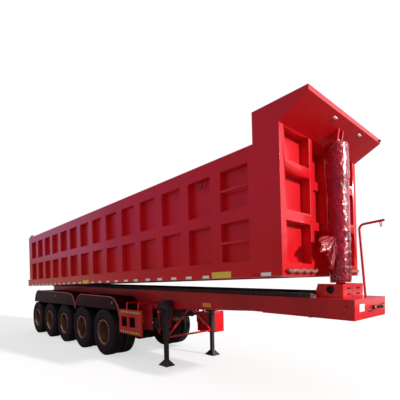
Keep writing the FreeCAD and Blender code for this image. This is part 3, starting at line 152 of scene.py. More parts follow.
def joined(parts):
    """Several (vertices, faces) pairs as one pair."""
    verts, faces, start = [], [], 0
    for v, f in parts:
        verts.append(np.asarray(v, float).reshape(-1, 3))
        faces += [[int(i) + start for i in face] for face in f]
        start += len(verts[-1])
    return np.vstack(verts), faces


def assembly(name, parts, place, material, body, smooth=35):
    """Several (vertices, faces) pairs put in place together, as one piece."""
    verts, faces = joined(parts)
    made = piece(name, place(verts), faces, material, body, smooth)
    print(name, len(parts), "parts,", len(faces), "faces")
    return made


# %% Grids and turned shapes
def grid_faces(rows, cols, wrap_rows=False, wrap_cols=False):
    """The quads of a grid of rows by cols points, closed round either way if asked."""
    r = np.arange(rows if wrap_rows else rows - 1)
    c = np.arange(cols if wrap_cols else cols - 1)
    rr, cc = np.meshgrid(r, c, indexing="ij")
    r2, c2 = (rr + 1) % rows, (cc + 1) % cols
    quads = np.stack([rr * cols + cc, rr * cols + c2, r2 * cols + c2, r2 * cols + cc], -1)
    return quads.reshape(-1, 4)


def lathe(profile, axis="Y", count=64, center=(0, 0, 0), turn=0.0):
    """Point (a, k) = (r_k cos a, r_k sin a) about the axis, at the profile's distance along it.

    The profile is a list of (radius, distance). Faces point outwards where it runs up the axis on
    the outside of the shape and down on the inside."""
    prof = np.asarray(profile, float)
    a = np.linspace(0, 2 * np.pi, count, endpoint=False) + turn
    r, d = prof[:, 0][None, :], prof[:, 1][None, :]
    along = np.broadcast_to(d, (count, len(prof)))
    u, v = r * np.cos(a)[:, None], r * np.sin(a)[:, None]
    order = {"Y": (u, along, v), "Z": (u, v, along), "X": (along, u, v)}[axis]
    points = np.stack(order, -1).reshape(-1, 3) + np.asarray(center, float)
    faces = grid_faces(count, len(prof), wrap_rows=True)
    return points, faces if axis == "Y" else faces[:, ::-1]


def mirrored(part, sign):
    """The same (vertices, faces) for a side: y times its sign, with the faces turned back."""
    verts, faces = part
    if sign > 0:
        return np.asarray(verts), faces
    return np.asarray(verts) * [1, -1, 1], [list(f)[::-1] for f in faces]


print("a turned cup of 3 by 8 points has", len(lathe([(0, 0), (1, 0), (1, 1)], "Z", 8)[1]), "quads")

# %% Bars and blocks
def tube(path, radius, sides=10):
    """A round bar: ring(i, a) = p_i + r_i (cos a * side_i + sin a * up_i), square to the path.

    Each ring's side comes from the one before, so that the bar doesn't twist."""
    p = np.asarray(path, float)
    t = np.gradient(p, axis=0)
    t /= np.linalg.norm(t, axis=1)[:, None]
    ref = np.array([0, 0, 1.0]) if abs(t[0][2]) < 0.9 else np.array([1.0, 0, 0])
    a = np.linspace(0, 2 * np.pi, sides, endpoint=False)
    rings, side = [], None
    for i in range(len(p)):
        side = np.cross(t[i], ref) if side is None else side - t[i] * np.dot(side, t[i])
        side /= np.linalg.norm(side)
        up = np.cross(side, t[i])
        r = radius[i] if np.ndim(radius) else radius
        rings.append(p[i] + r * (np.cos(a)[:, None] * side + np.sin(a)[:, None] * up))
    caps = [list(range(sides)), list(range((len(p) - 1) * sides, len(p) * sides))[::-1]]
    return np.vstack(rings), grid_faces(len(p), sides, wrap_cols=True)[:, ::-1].tolist() + caps


def rounded_box(low, high, bevel=0.0):
    """A block between two corners, its twelve edges rounded by a bevel of two facets."""
    low, high = np.asarray(low, float), np.asarray(high, float)
    bm = bmesh.new()
    bmesh.ops.create_cube(bm, size=1)
    for v in bm.verts:
        v.co = Vector((low + high) / 2 + np.array(v.co) * (high - low))
    if bevel:
        bmesh.ops.bevel(bm, geom=bm.edges[:], offset=bevel, segments=2, profile=0.5,
                        affect="EDGES")
    bm.verts.index_update()
    out = np.array([v.co[:] for v in bm.verts]), [[v.index for v in f.verts] for f in bm.faces]
    bm.free()
    return out


def prism(outline, low, high):
    """An outline of (x, z), turning left, carried from y = low to y = high."""
    line = np.asarray(outline, float)
    n = len(line)
    ring = np.column_stack([line[:, 0], np.zeros(n), line[:, 1]])
    faces = [list(range(n)), list(range(n, 2 * n))[::-1]]
    faces += [[k, k + n, (k + 1) % n + n, (k + 1) % n] for k in range(n)]
    return np.vstack([ring + [0, low, 0], ring + [0, high, 0]]), faces


print("a rounded block has", len(rounded_box((0, 0, 0), (1, 1, 1), 0.1)[1]), "faces")

# %% [markdown]
# ## Paint, film, rubber and steel
# The real trailer is sprayed in one deep red, with black running gear, bronze rims and film.
# Paint could be one colour, but a shop coat varies: it is a little darker in places, dusty where
# water dries, and its gloss changes. One shared group gives those masks, and each material keeps
# its own shader, so that numbers that are the same all over stay on the shader.

# %% Node helpers
def add_node(tree, kind, values=None, feeds=None, **settings):
    """One new node: its settings, its plain input values, and the sockets that feed its inputs."""
    made = tree.nodes.new(kind)
    for name, value in settings.items():
        setattr(made, name, value)
    for name, value in (values or {}).items():
        made.inputs[name].default_value = value
    for name, socket in (feeds or {}).items():
        tree.links.new(socket, made.inputs[name])
    return made


def maths(tree, operation, one, other):
    """A Math node's result for two sockets, or for a socket and a number."""
    number = {1: other} if isinstance(other, (int, float)) else {}
    feeds = {0: one} if number else {0: one, 1: other}
    return add_node(tree, "ShaderNodeMath", number, feeds, operation=operation).outputs[0]


def seen_by(tree, *kinds):
    """1 where the ray is of one of these kinds, such as Camera or Glossy, else 0."""
    rays = tree.nodes.new("ShaderNodeLightPath").outputs
    result = rays[f"Is {kinds[0]} Ray"]
    for kind in kinds[1:]:
        result = maths(tree, "MAXIMUM", result, rays[f"Is {kind} Ray"])
    return result


# %% Surface variation
GROUP_INPUTS = {"Base": (0.5, 0.5, 0.5, 1), "Deep": (0.3, 0.3, 0.3, 1), "Dust": (0.5, 0.45, 0.4, 1),
                "Dust Amount": 0.1, "Scale": 3.0, "Gloss Low": 0.2, "Gloss High": 0.4,
                "Grain Scale": 300.0}
FINE_SHARE = 9  # how many times finer the specks are than the broad patches


def surface_group():
    """Colour = mix(mix(base, deep, broad noise), dust, dust amount * facing up * specks)."""
    g = bpy.data.node_groups.new("SurfaceVariation", "ShaderNodeTree")
    for name, value in GROUP_INPUTS.items():
        kind = "NodeSocketFloat" if isinstance(value, float) else "NodeSocketColor"
        socket = g.interface.new_socket(name=name, in_out="INPUT", socket_type=kind)
        socket.default_value = value
    for name, kind in (("Color", "NodeSocketColor"), ("Roughness", "NodeSocketFloat"),
                       ("Height", "NodeSocketFloat")):
        g.interface.new_socket(name=name, in_out="OUTPUT", socket_type=kind)
    given = g.nodes.new("NodeGroupInput").outputs
    spot = g.nodes.new("ShaderNodeTexCoord").outputs["Object"]

    def noise(scale, detail):
        feeds = {"Vector": spot, "Scale": scale}
        return add_node(g, "ShaderNodeTexNoise", {"Detail": detail}, feeds).outputs["Fac"]

    def opened(socket, low, high, least=0.0):
        limits = {"From Min": low, "From Max": high, "To Min": least}
        return add_node(g, "ShaderNodeMapRange", limits, {"Value": socket}).outputs["Result"]

    def blend(share, one, other):
        feeds = {"Factor": share, "A": one, "B": other}
        return add_node(g, "ShaderNodeMix", feeds=feeds, data_type="RGBA").outputs["Result"]

    broad = noise(given["Scale"], 4)
    fine = noise(maths(g, "MULTIPLY", given["Scale"], FINE_SHARE), 6)
    grain = noise(given["Grain Scale"], 2)
    normal = g.nodes.new("ShaderNodeNewGeometry").outputs["Normal"]
    upward = add_node(g, "ShaderNodeSeparateXYZ", feeds={"Vector": normal}).outputs["Z"]
    dusty = maths(g, "MULTIPLY", opened(upward, 0.1, 1.0, 0.25), opened(fine, 0.45, 0.75))
    paint = blend(opened(broad, 0.35, 0.65), given["Base"], given["Deep"])
    colour = blend(maths(g, "MULTIPLY", dusty, given["Dust Amount"]), paint, given["Dust"])
    rough = add_node(g, "ShaderNodeMapRange", feeds={"Value": fine, "To Min": given["Gloss Low"],
                                                     "To Max": given["Gloss High"]})
    add_node(g, "NodeGroupOutput", feeds={"Color": colour, "Roughness": rough.outputs["Result"],
                                          "Height": grain})
    return g


SURFACE = surface_group()
print("surface group with", len(SURFACE.nodes), "nodes")

# %% Materials
def material(name, base, deep, dust=(0.45, 0.38, 0.32), dust_amount=0.1, scale=2.0,
             gloss=(0.25, 0.4), grain=300.0, bump=0.05, bump_size=0.0005, metallic=0.0, coat=0.0,
             coat_rough=0.1, specular=0.5):
    """A Principled material fed by the shared variation group, with its grain as bump."""
    made = bpy.data.materials.new(name)
    made.use_nodes = True
    tree = made.node_tree
    values = ((*base, 1), (*deep, 1), (*dust, 1), dust_amount, scale, *gloss, grain)
    skin = add_node(tree, "ShaderNodeGroup", dict(zip(GROUP_INPUTS, values)), node_tree=SURFACE)
    relief = add_node(tree, "ShaderNodeBump", {"Strength": bump, "Distance": bump_size},
                      {"Height": skin.outputs["Height"]})
    shader = tree.nodes["Principled BSDF"]
    for name, socket in (("Base Color", skin.outputs["Color"]),
                         ("Roughness", skin.outputs["Roughness"]),
                         ("Normal", relief.outputs["Normal"])):
        tree.links.new(socket, shader.inputs[name])
    for name, value in (("Metallic", metallic), ("Coat Weight", coat),
                        ("Coat Roughness", coat_rough), ("Specular IOR Level", specular)):
        shader.inputs[name].default_value = value
    return made


RED = material("RedPaint", (0.66, 0.004, 0.009), (0.57, 0.003, 0.007), dust_amount=0.03, scale=0.8,
               gloss=(0.26, 0.40), coat=0.5, coat_rough=0.12, grain=60, bump=0.25, bump_size=0.0006,
               specular=0.35)
RED_LOW = material("RedPaintDusty", (0.56, 0.004, 0.006), (0.40, 0.003, 0.005), dust_amount=0.10,
                   scale=1.5, gloss=(0.38, 0.55), coat=0.2, coat_rough=0.2, specular=0.3)
# The fenders' red paint, darkened to its look in shade, as painted shade.
SHADED_FENDER_PAINT = material("FenderPaintShaded", (0.030, 0.0015, 0.003), (0.016, 0.001, 0.002), dust_amount=0.03,
                  scale=1.5, gloss=(0.40, 0.55), specular=0.12)
# A pinker red for the fenders' rolled edges: a painted highlight of their thin line of light.
EDGE = material("FenderEdgeHighlight", (0.62, 0.10, 0.14), (0.50, 0.07, 0.10), dust_amount=0.05,
                gloss=(0.2, 0.3), coat=0.4)
BLACK = material("BlackPaint", (0.018, 0.018, 0.020), (0.010, 0.010, 0.012), dust_amount=0.25,
                 scale=2.5, gloss=(0.35, 0.55), coat=0.2)
TYRE = material("TyreRubber", (0.018, 0.016, 0.017), (0.010, 0.010, 0.011), (0.14, 0.09, 0.06),
                dust_amount=0.22, scale=4, gloss=(0.62, 0.82), grain=500, bump=0.3,
                bump_size=0.001, specular=0.25)
BRONZE = material("RimPaint", (0.30, 0.16, 0.085), (0.18, 0.09, 0.05), scale=5,
                  gloss=(0.25, 0.40), metallic=0.6, coat=0.3)
# The wheel discs' paint is darker than the rims', as painted shade for the deep dish.
DISC = material("DiscPaintShaded", (0.055, 0.032, 0.022), (0.030, 0.018, 0.013), scale=5,
                gloss=(0.35, 0.50), metallic=0.4)
STEEL = material("MachinedSteel", (0.55, 0.55, 0.56), (0.42, 0.41, 0.40), scale=6,
                 gloss=(0.22, 0.4), metallic=1.0)
CHROME = material("HardChrome", (0.78, 0.78, 0.80), (0.70, 0.70, 0.72), dust_amount=0.02, scale=6,
                  gloss=(0.05, 0.10), metallic=1.0)
RUBBER = material("BlackRubber", (0.020, 0.020, 0.020), (0.030, 0.028, 0.026), dust_amount=0.3,
                  gloss=(0.6, 0.8), grain=200, bump=0.2)
LENS_RED = material("RedLens", (0.55, 0.01, 0.02), (0.45, 0.01, 0.02), dust_amount=0.05,
                    gloss=(0.08, 0.15), coat=0.8, grain=120, bump=0.4)
WHITE = material("WhitePlate", (0.82, 0.82, 0.80), (0.74, 0.74, 0.72))
YELLOW = material("YellowPlate", (0.80, 0.58, 0.05), (0.70, 0.50, 0.05))
ORANGE = material("OrangePlate", (0.85, 0.28, 0.03), (0.75, 0.24, 0.03))
LIME = material("LimeReflector", (0.60, 0.72, 0.10), (0.52, 0.64, 0.08), gloss=(0.2, 0.3),
                coat=0.5)
print("materials", len(bpy.data.materials))

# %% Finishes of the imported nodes
SLOTS = {"red_paint": RED, "black_paint": BLACK, "tyre": TYRE, "rim_paint": BRONZE,
         "strip_rubber": RUBBER, "film": RED, "rod_chrome": CHROME, "pin_steel": STEEL,
         "lamp": LENS_RED}
for part in frame["record"]["subparts"]:
    slots = NODES[part["node"]].data.materials
    slots.clear()
    slots.append(SLOTS[part["material_slot"]])
for name in ("main_beams", "cross_members", "spring_hangers", "rear_guard", "hinge_brackets"):
    NODES[name].data.materials[0] = RED_LOW
# The fenders take the red paint darkened as painted shade.
NODES["fenders"].data.materials[0] = SHADED_FENDER_PAINT

# %% [markdown]
# ## Edges that catch the light
# Folded and welded plate has soft edges, and a solid from CAD has sharp ones. Each boxy node is
# copied, its flat facets are merged, and its outer edges get a small bevel, so the highlights run
# along the posts and rails as they do on the real bed. The copy keeps the node's form.

# %% Soft edges
HARD, FLAT = np.radians(28), np.radians(1.5)  # an edge turns by more, one surface by less
WALL_FRONT = 11.620  # where the side walls meet the front wall


def read(items, name, width=1, kind=float):
    """One attribute of all of a mesh's items as an array."""
    values = np.empty(len(items) * width, kind)
    items.foreach_get(name, values)
    return values.reshape(-1, width) if width > 1 else values


def rounded(obj, width, seam=None):
    """Round the outer edges that turn by over 28 degrees, apart from those on a seam plane.

    An edge's two faces turn by the angle between their normals. It is an outer edge where the
    middle of one face lies behind the other's plane; inner corners stay sharp and keep their
    room."""
    mesh = obj.data
    normal, middle = read(mesh.polygons, "normal", 3), read(mesh.polygons, "center", 3)
    face = np.repeat(np.arange(len(mesh.polygons)), read(mesh.polygons, "loop_total", kind=int))
    edge = read(mesh.loops, "edge_index", kind=int)
    face = face[np.argsort(edge, kind="stable")]
    count = np.bincount(edge, minlength=len(mesh.edges))
    first = np.cumsum(count) - count
    one, two = face[first], face[np.minimum(first + 1, len(face) - 1)]
    turns = (normal[one] * normal[two]).sum(1) < np.cos(HARD)
    outer = ((middle[two] - middle[one]) * normal[one]).sum(1) < 0
    sharp = (count == 2) & turns & outer
    if seam is not None:
        along = level_x(read(mesh.vertices, "co", 3))
        sharp &= ~(np.abs(along[read(mesh.edges, "vertices", 2, int)] - seam) < 0.002).all(1)
    weight = mesh.attributes.new("bevel_weight_edge", "FLOAT", "EDGE")
    weight.data.foreach_set("value", sharp.astype(float))
    bevel = obj.modifiers.new("Soft", "BEVEL")
    bevel.width, bevel.segments, bevel.limit_method = width, 2, "WEIGHT"
    bevel.harden_normals = True
    return obj


def dressed(name, width, seam=None):
    """A node's mesh with flat facets merged and its outer edges bevelled by a width."""
    source = NODES[name]
    bm = bmesh.new()
    bm.from_mesh(source.data)
    bmesh.ops.remove_doubles(bm, verts=bm.verts[:], dist=1e-5)
    bmesh.ops.dissolve_limit(bm, angle_limit=FLAT, verts=bm.verts[:], edges=bm.edges[:])
    mesh = bpy.data.meshes.new(name + "_soft")
    bm.to_mesh(mesh)
    bm.free()
    mesh.materials.append(source.data.materials[0])
    mesh.shade_smooth()
    mesh.set_sharp_from_angle(angle=HARD)
    obj = rounded(linked(name + "_soft", mesh), width, seam)
    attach(obj, source["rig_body"])
    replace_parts(obj, name)
    return obj


for name, width in (("bed_front_wall", 0.005), ("tailgate", 0.010), ("bed_floor", 0.006),
                    ("lift_seat", 0.004), ("main_beams", 0.004), ("neck_plates", 0.003),
                    ("toolbox", 0.004), ("toolbox_door", 0.004), ("side_guards", 0.004),
                    ("landing_legs", 0.006), ("rear_guard", 0.006), ("spring_hangers", 0.006),
                    ("cross_members", 0.006), ("fenders", 0.002)):
    made = dressed(name, width, WALL_FRONT if name == "bed_front_wall" else None)
    print(made.name, len(made.data.polygons))

# %% [markdown]
# ## The ribbed side walls
# Each wall is two rows of fourteen pressed recesses between posts and rails. A bump map can't do
# this, because the recesses are a hand deep and their sides turn dark. The wall is a grid of cells
# whose lines are the posts' edges. Where a cell is a recess, its face is pushed in and drawn a
# little smaller, like a pressing, and the hard edges get a small round afterwards.

# %% Side walls
WALL_REAR, HEAD_REAR, BED_FRONT = 0.118, 11.325, 11.780
WALL_TOP, HEAD_TOP = 1.930, 2.373
BED_SIDE, WALL_DEPTH, RECESS_DEPTH, DRAFT = 1.245, 0.118, 0.108, 0.012
BAY_COUNT, BAY_WIDE, BAY_FIRST, BAY_LEFT_OVER = 14, 0.560, 0.356, 0.322
BAYS = BAY_FIRST + np.arange(BAY_COUNT) * (BED_FRONT - BAY_FIRST - BAY_LEFT_OVER) / BAY_COUNT
ROWS = ((0.250, 0.866), (1.064, 1.694))


def ribbed_wall():
    """Corner (i, j) = (x_i, 0, z_j); a recess cell's face = its corners + depth, less a draft.

    Faces come cell by cell in the order of the set, because the bevel's shading depends on it."""
    xs = np.concatenate([[WALL_REAR, HEAD_REAR, WALL_FRONT], BAYS, BAYS + BAY_WIDE])
    xs = np.unique(np.round(xs, 6))
    zs = np.array([0.0, *ROWS[0], *ROWS[1], WALL_TOP, HEAD_TOP])
    columns, levels = len(xs) - 1, len(zs) - 1
    i, j = np.array(list({(i, j) for i in range(columns) for j in range(levels)
                          if j < levels - 1 or xs[i] > HEAD_REAR - 0.001})).T
    around = np.zeros((columns + 2, levels + 2), bool)
    around[i + 1, j + 1] = True
    lows, highs, zero = (xs[i], zs[j]), (xs[i + 1], zs[j + 1]), np.zeros(len(i))
    outer = np.stack([(x, zero, z) for x, z in (lows, (highs[0], lows[1]), highs,
                                                (lows[0], highs[1]))]).transpose(2, 0, 1)
    back = outer[:, [0, 3, 2, 1]] + [0, WALL_DEPTH, 0]
    in_bay = np.abs(lows[0][:, None] - BAYS).min(1) < 1e-4
    recess = in_bay & np.isin(lows[1], [low for low, high in ROWS])
    sunk = outer[recess]
    floor = sunk + np.array([(1, 0, 1), (-1, 0, 1), (-1, 0, -1), (1, 0, -1)]) * DRAFT
    floor = floor + [0, RECESS_DEPTH, 0]
    cell = np.arange(len(i))
    quads, cells = [back, floor, outer[~recess]], [cell, cell[recess], cell[~recess]]
    for k, (di, dj) in enumerate(((0, -1), (1, 0), (0, 1), (-1, 0))):
        n = (k + 1) % 4
        edge = ~around[i + 1 + di, j + 1 + dj]
        quads.append(np.stack([sunk[:, k], sunk[:, n], floor[:, n], floor[:, k]], 1))
        quads.append(outer[edge][:, [n, k, k, n]]
                     + [(0, 0, 0), (0, 0, 0), (0, WALL_DEPTH, 0), (0, WALL_DEPTH, 0)])
        cells += [cell[recess], cell[edge]]
    by_cell = np.argsort(np.concatenate(cells), kind="stable")
    corners = np.round(np.concatenate(quads)[by_cell].reshape(-1, 3), 5)
    verts, first, faces = np.unique(corners, axis=0, return_index=True, return_inverse=True)
    order = np.argsort(first)
    return verts[order], np.argsort(order)[faces].reshape(-1, 4)


wall_verts, wall_faces = ribbed_wall()
for side, sign in SIDES:
    flat = wall_verts * [1, -sign, 1] + [0, sign * BED_SIDE, 0]
    order = wall_faces if sign < 0 else wall_faces[:, ::-1]
    wall = piece(f"bed_wall_{side}", on_bed(flat), order, RED, "bed", smooth=25)
    rounded(wall, 0.010, seam=WALL_FRONT)
    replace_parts(wall, f"bed_side_{side}")
print("side wall", len(wall_verts), "vertices", len(wall_faces), "faces")

# %% [markdown]
# ## The hood over the cylinder
# Two sheets make the hood: a sloping underside with a lip, which shelters the cylinder's head, and
# a thin roof plate that runs back over the cheeks. The solid from CAD is one mesh whose side has a
# hollow corner, and a bevel there leaves dark triangles. So it is drawn again as two prisms, each
# a convex outline carried across the bed, and both get a small round.

# %% Hood
HOOD_FRONT, HOOD_UNDER, HOOD_LIP, ROOF_TOP = 12.220, 2.080, 2.313, HEAD_TOP + 0.012
wedge = prism([(BED_FRONT, HOOD_UNDER), (HOOD_FRONT, HOOD_LIP), (HOOD_FRONT, HEAD_TOP),
               (BED_FRONT, HEAD_TOP)], -BED_SIDE, BED_SIDE)
roof = prism([(HEAD_REAR, HEAD_TOP), (HOOD_FRONT, HEAD_TOP), (HOOD_FRONT, ROOF_TOP),
              (HEAD_REAR, ROOF_TOP)], -BED_SIDE, BED_SIDE)
hood = rounded(assembly("hood_sheets", [wedge, roof], on_bed, RED, "bed", smooth=25), 0.003)
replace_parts(hood, "hood")

# %% [markdown]
# ## Film round the cylinder
# The cylinder is delivered in shrunk film, so what shows is not a clean tube but a crinkled skin,
# tight at two ties. A cloth simulation of a tight wrap is slow and mostly gives a plain tube, so
# the radius is written as a function of angle and height: a profile with ties, plus sharp ridges
# that wander round it. The lower skin rides on the barrel, the upper one on the inmost stage.

# %% Film
FILM = material("ShrinkFilm", (0.36, 0.004, 0.012), (0.25, 0.003, 0.009), dust_amount=0.02, scale=3,
                gloss=(0.12, 0.26), coat=1.0, coat_rough=0.05, grain=22, bump=0.9, bump_size=0.016)
WRAP_AROUND, WRAP_UP, FILM_THICK = 128, 150, 0.0015
RIDGE_COUNT, RIDGE_SLOW, RIDGE_FAST = 22, 4, 46  # waves, and their least and most turns a metre


def ridges(angle, height, seed):
    """Sum of sharp waves size * (1 - |sin(k angle + m height + drift)|), less their mean."""
    draw = np.random.default_rng(seed)
    total = np.zeros(np.broadcast(angle, height).shape)
    for k, m, phase, side in zip(draw.integers(1, 8, RIDGE_COUNT),
                                 draw.uniform(RIDGE_SLOW, RIDGE_FAST, RIDGE_COUNT),
                                 draw.uniform(0, 6.28, RIDGE_COUNT),
                                 draw.choice([-1, 1], RIDGE_COUNT)):
        drift = 0.9 * np.sin(2 * angle + 5 * height + phase) + 0.6 * np.sin(angle - 9 * height)
        wave = 1 - np.abs(np.sin(k * angle + side * m * height + phase + drift))
        total += (wave - 0.36) * 5.0 / (k + m / 6)
    return total


def wrap(name, line, seed, crinkle, body):
    """Radius(z) from a line of (z, radius, crinkle share), crinkled and given a thin wall."""
    line = np.asarray(line, float)
    reach = np.concatenate([[0], np.cumsum(np.hypot(*np.diff(line[:, :2], axis=0).T))])
    along = np.linspace(0, reach[-1], WRAP_UP)
    z, radius, share = (np.interp(along, reach, column) for column in line.T)
    angle = np.linspace(0, 2 * np.pi, WRAP_AROUND, endpoint=False)
    aa, zz = np.meshgrid(angle, z, indexing="ij")
    fold = ridges(aa, zz, seed)
    r = radius[None] + crinkle * share[None] * fold / np.abs(fold).max()
    points = np.stack([r * np.cos(aa), r * np.sin(aa), zz], -1).reshape(-1, 3)
    faces = grid_faces(WRAP_AROUND, WRAP_UP, wrap_rows=True)
    made = piece(name, on_lift(points), faces, FILM, body, smooth=50)
    skin = made.modifiers.new("Thickness", "SOLIDIFY")
    skin.thickness, skin.offset = FILM_THICK, -1
    return made


BARREL_LINE = (  # height, radius, crinkle share
    (0.105, 0.1535, 0.2), (0.15, 0.156, 0.5), (0.24, 0.161, 0.9), (0.285, 0.167, 0.8),
    (0.30, 0.168, 0.3), (0.318, 0.156, 0.2), (0.40, 0.161, 1.0), (0.56, 0.162, 1.0),
    (0.66, 0.157, 0.4), (0.69, 0.154, 0.1), (0.705, 0.168, 0.3), (0.74, 0.166, 0.8),
    (0.80, 0.160, 1.0), (1.10, 0.161, 1.0), (1.50, 0.163, 0.8), (1.60, 0.1655, 0.4),
    (1.845, 0.1655, 0.3))
HEAD_LINE = (
    (1.65, 0.1745, 0.3), (1.70, 0.1765, 0.8), (1.90, 0.177, 1.0), (2.10, 0.177, 1.0),
    (2.180, 0.176, 1.0), (2.208, 0.170, 0.8), (2.216, 0.158, 0.7), (2.204, 0.132, 0.5),
    (2.196, 0.100, 0.4), (2.192, 0.060, 0.3), (2.1905, 0.0435, 0.0))
lower = wrap("barrel_wrap", BARREL_LINE, 5, 0.0060, "lift_barrel")
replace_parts(lower, "lift_film")
upper = wrap("head_wrap", HEAD_LINE, 9, 0.0050, "lift_stage_5")
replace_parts(upper, "lift_film_top")
print("film", len(lower.data.polygons), "and", len(upper.data.polygons), "faces")

# %% Ties and the loose end
TIE_AT, LOW_TIE_AT = 0.690, 0.309
KNOT = ((0, -0.02), (0.012, -0.014), (0.019, 0), (0.012, 0.016), (0, 0.02))


def tied(z, radius, thick, seed):
    """A twisted band round the cylinder: z + wave(a), wavy like a cord pulled tight."""
    a = np.linspace(0, 2 * np.pi, 97)
    wave = 0.004 * np.sin(3 * a + seed) + 0.002 * np.sin(7 * a)
    path = np.column_stack([radius * np.cos(a), radius * np.sin(a), z + wave])
    return tube(path, thick * (1 + 0.25 * np.sin(9 * a + seed)), 8)


def fan(start, low, high, reach, folds, seed):
    """A gathered flap: rays leave the knot between two angles; folds deepen with the distance."""
    s, t = np.meshgrid(np.linspace(0, 1, 26), np.linspace(0, 1, 72), indexing="ij")
    angle = np.radians(low + (high - low) * t)
    length = reach * (0.80 + 0.16 * np.sin(9 * t + seed) + 0.07 * np.sin(31 * t + seed))
    out, droop = s * length * np.cos(angle), s * length * np.sin(angle)
    depth = (0.036 * s * np.sin(folds * 2 * np.pi * t + 2 * s + seed)
             + 0.010 * np.sin(40 * t + 6 * s))
    x, z = start[0] + depth - 0.05 * s ** 2, start[2] + droop - 0.05 * s ** 2
    return np.stack([x, start[1] - 0.015 - out, z], -1).reshape(-1, 3), grid_faces(26, 72)


assembly("film_ties", [tied(TIE_AT, 0.160, 0.006, 1.0), tied(LOW_TIE_AT, 0.163, 0.007, 2.0),
                       lathe(KNOT, "Z", 12, (0.118, 0.128, LOW_TIE_AT))],
         on_lift, FILM, "lift_barrel", smooth=50)
loose = fan((0.02, -0.140, TIE_AT + 0.08), -86, 6, 0.46, 3.5, 0.7)
flap = assembly("film_flap", [loose], on_lift, FILM, "lift_barrel", smooth=60)
flap.modifiers.new("Thickness", "SOLIDIFY").thickness = FILM_THICK

# %% [markdown]
# ## Rolled film at the wall's foot
# A strip of the same film lies rolled along the front wall's lower rail and hangs in shallow bows.
# It is a tube whose middle line sags between its ties, with a radius that swells and pinches.

# %% Rolled film
ROLL = material("RolledFilm", (0.33, 0.12, 0.08), (0.22, 0.06, 0.05), dust_amount=0.3, scale=9,
                gloss=(0.3, 0.6), grain=90, bump=0.9, bump_size=0.006)
ROLL_X, ROLL_Z, BOWS = BED_FRONT + 0.036, 0.088, 4
for side, sign in SIDES:
    t = np.linspace(0, 1, 161)
    bow = np.abs(np.sin(BOWS * np.pi * t))
    path = np.column_stack([np.full_like(t, ROLL_X), sign * (0.37 + 0.80 * t),
                            ROLL_Z - 0.024 * bow])
    swell = 0.022 + 0.010 * bow + 0.003 * np.sin(57 * t) + 0.002 * np.sin(131 * t)
    assembly(f"rolled_film_{side}", [tube(path, swell, 14)], on_bed, ROLL, "bed", smooth=60)

# %% [markdown]
# ## Marker strips and blank plates
# Reflective dashes run along the bed's bottom rail, with two yellow plates between them that stay
# blank. A mask in the paint could draw them, but real ones are stuck-on film with a thickness, so
# each is a thin slab, set where it is on the real rail.

# %% Marker strips
STICK, PLATE, SUNK = 0.0012, 0.0016, 0.0005  # how far dashes and plates stand out, and lie in
DASHES = [10.289, 9.844, 9.410, 8.958, 8.533, 8.057, 7.628, 7.174, 6.736, 6.294, 5.860, 5.007,
          4.567, 4.161, 3.747, 3.344, 2.916, 2.462, 2.056, 1.62, 1.19, 0.75, 0.33]


def side_block(x, out, z, sign, bevel=0.0):
    """A block between two x, two z and two distances from the middle plane."""
    near, far = sorted(sign * y for y in out)
    return rounded_box((x[0], near, z[0]), (x[1], far, z[1]), bevel)


def stuck(name, rows, material, thick=STICK, place=on_bed, body="bed", signs=(-1, 1),
          face=BED_SIDE, bevel=0.0):
    """Rows of (x0, x1, z0, z1) as thin slabs on a side face or on both, in one piece."""
    parts = [side_block((x0, x1), (face - SUNK, face + thick), (z0, z1), sign, bevel)
             for sign in signs for x0, x1, z0, z1 in rows]
    return assembly(name, parts, place, material, body, smooth=0)


stuck("white_dashes", [(x - 0.078, x + 0.078, 0.012, 0.058) for x in DASHES]
      + [(11.426, 11.596, 0.012, 0.062)], WHITE)
stuck("red_dashes", [(x + 0.090, x + 0.200, 0.014, 0.056) for x in DASHES if x < 4.6]
      + [(11.265, 11.400, 0.012, 0.062)], LENS_RED)
stuck("yellow_plates", [(10.435, 10.855, 0.006, 0.106), (5.21, 5.60, 0.006, 0.100)], YELLOW, PLATE)
stuck("beam_plates", [(9.45, 9.69, 1.365, 1.445)], ORANGE, 0.003, on_lean, "chassis", face=0.580,
      bevel=0.001)

# %% [markdown]
# ## Rungs, lip lamps and the last bays
# The front bay carries one climbing rung in each recess, and the next one a small hook. Under the
# hood's lip sit two clearance lamps. These are bars and blocks with rounded ends, because they
# stand free of the sheet and throw a shadow on it.

# %% Rungs and lamps
RUNG_BAY, HOOK_BAY = BAYS[13], BAYS[12]
HOOK = ((0.33, 1.694), (0.33, 1.60), (0.32, 1.575), (0.29, 1.565), (0.262, 1.575), (0.255, 1.605))
LAMP_X = 12.150

rungs = [side_block((RUNG_BAY + 0.004, RUNG_BAY + 0.556), (BED_SIDE - 0.030, BED_SIDE - 0.004),
                    (z - 0.018, z + 0.018), sign, 0.005)
         for sign in (-1, 1) for z in (0.555, 1.375)]
assembly("rungs", rungs, on_bed, RED, "bed")
hooks = [tube([(HOOK_BAY + x, sign * (BED_SIDE - 0.045), z) for x, z in HOOK], 0.012, 8)
         for sign in (-1, 1)]
assembly("bay_hooks", hooks, on_bed, BLACK, "bed")
slope = (HOOD_LIP - HOOD_UNDER) / (HOOD_FRONT - BED_FRONT)
under = HOOD_UNDER + slope * (LAMP_X - BED_FRONT)
lamps = [rounded_box((LAMP_X - 0.020, y - 0.050, under - 0.010),
                     (LAMP_X + 0.015, y + 0.050, under + 0.014), 0.004) for y in (-0.36, 0.50)]
assembly("lip_lamps", lamps, on_bed, WHITE, "bed")
marker = rounded_box((12.2195, 1.187, 2.335), (12.243, 1.223, 2.371), 0.006)
assembly("lip_marker", [marker], on_bed, BLACK, "bed")
latches = [side_block((-0.012, 0.060), (1.205, 1.240), (z, z + 0.07), sign, 0.008)
           for sign in (-1, 1) for z in (0.345, 0.700)]
assembly("gate_latches", latches, on_bed, BLACK, "tailgate")
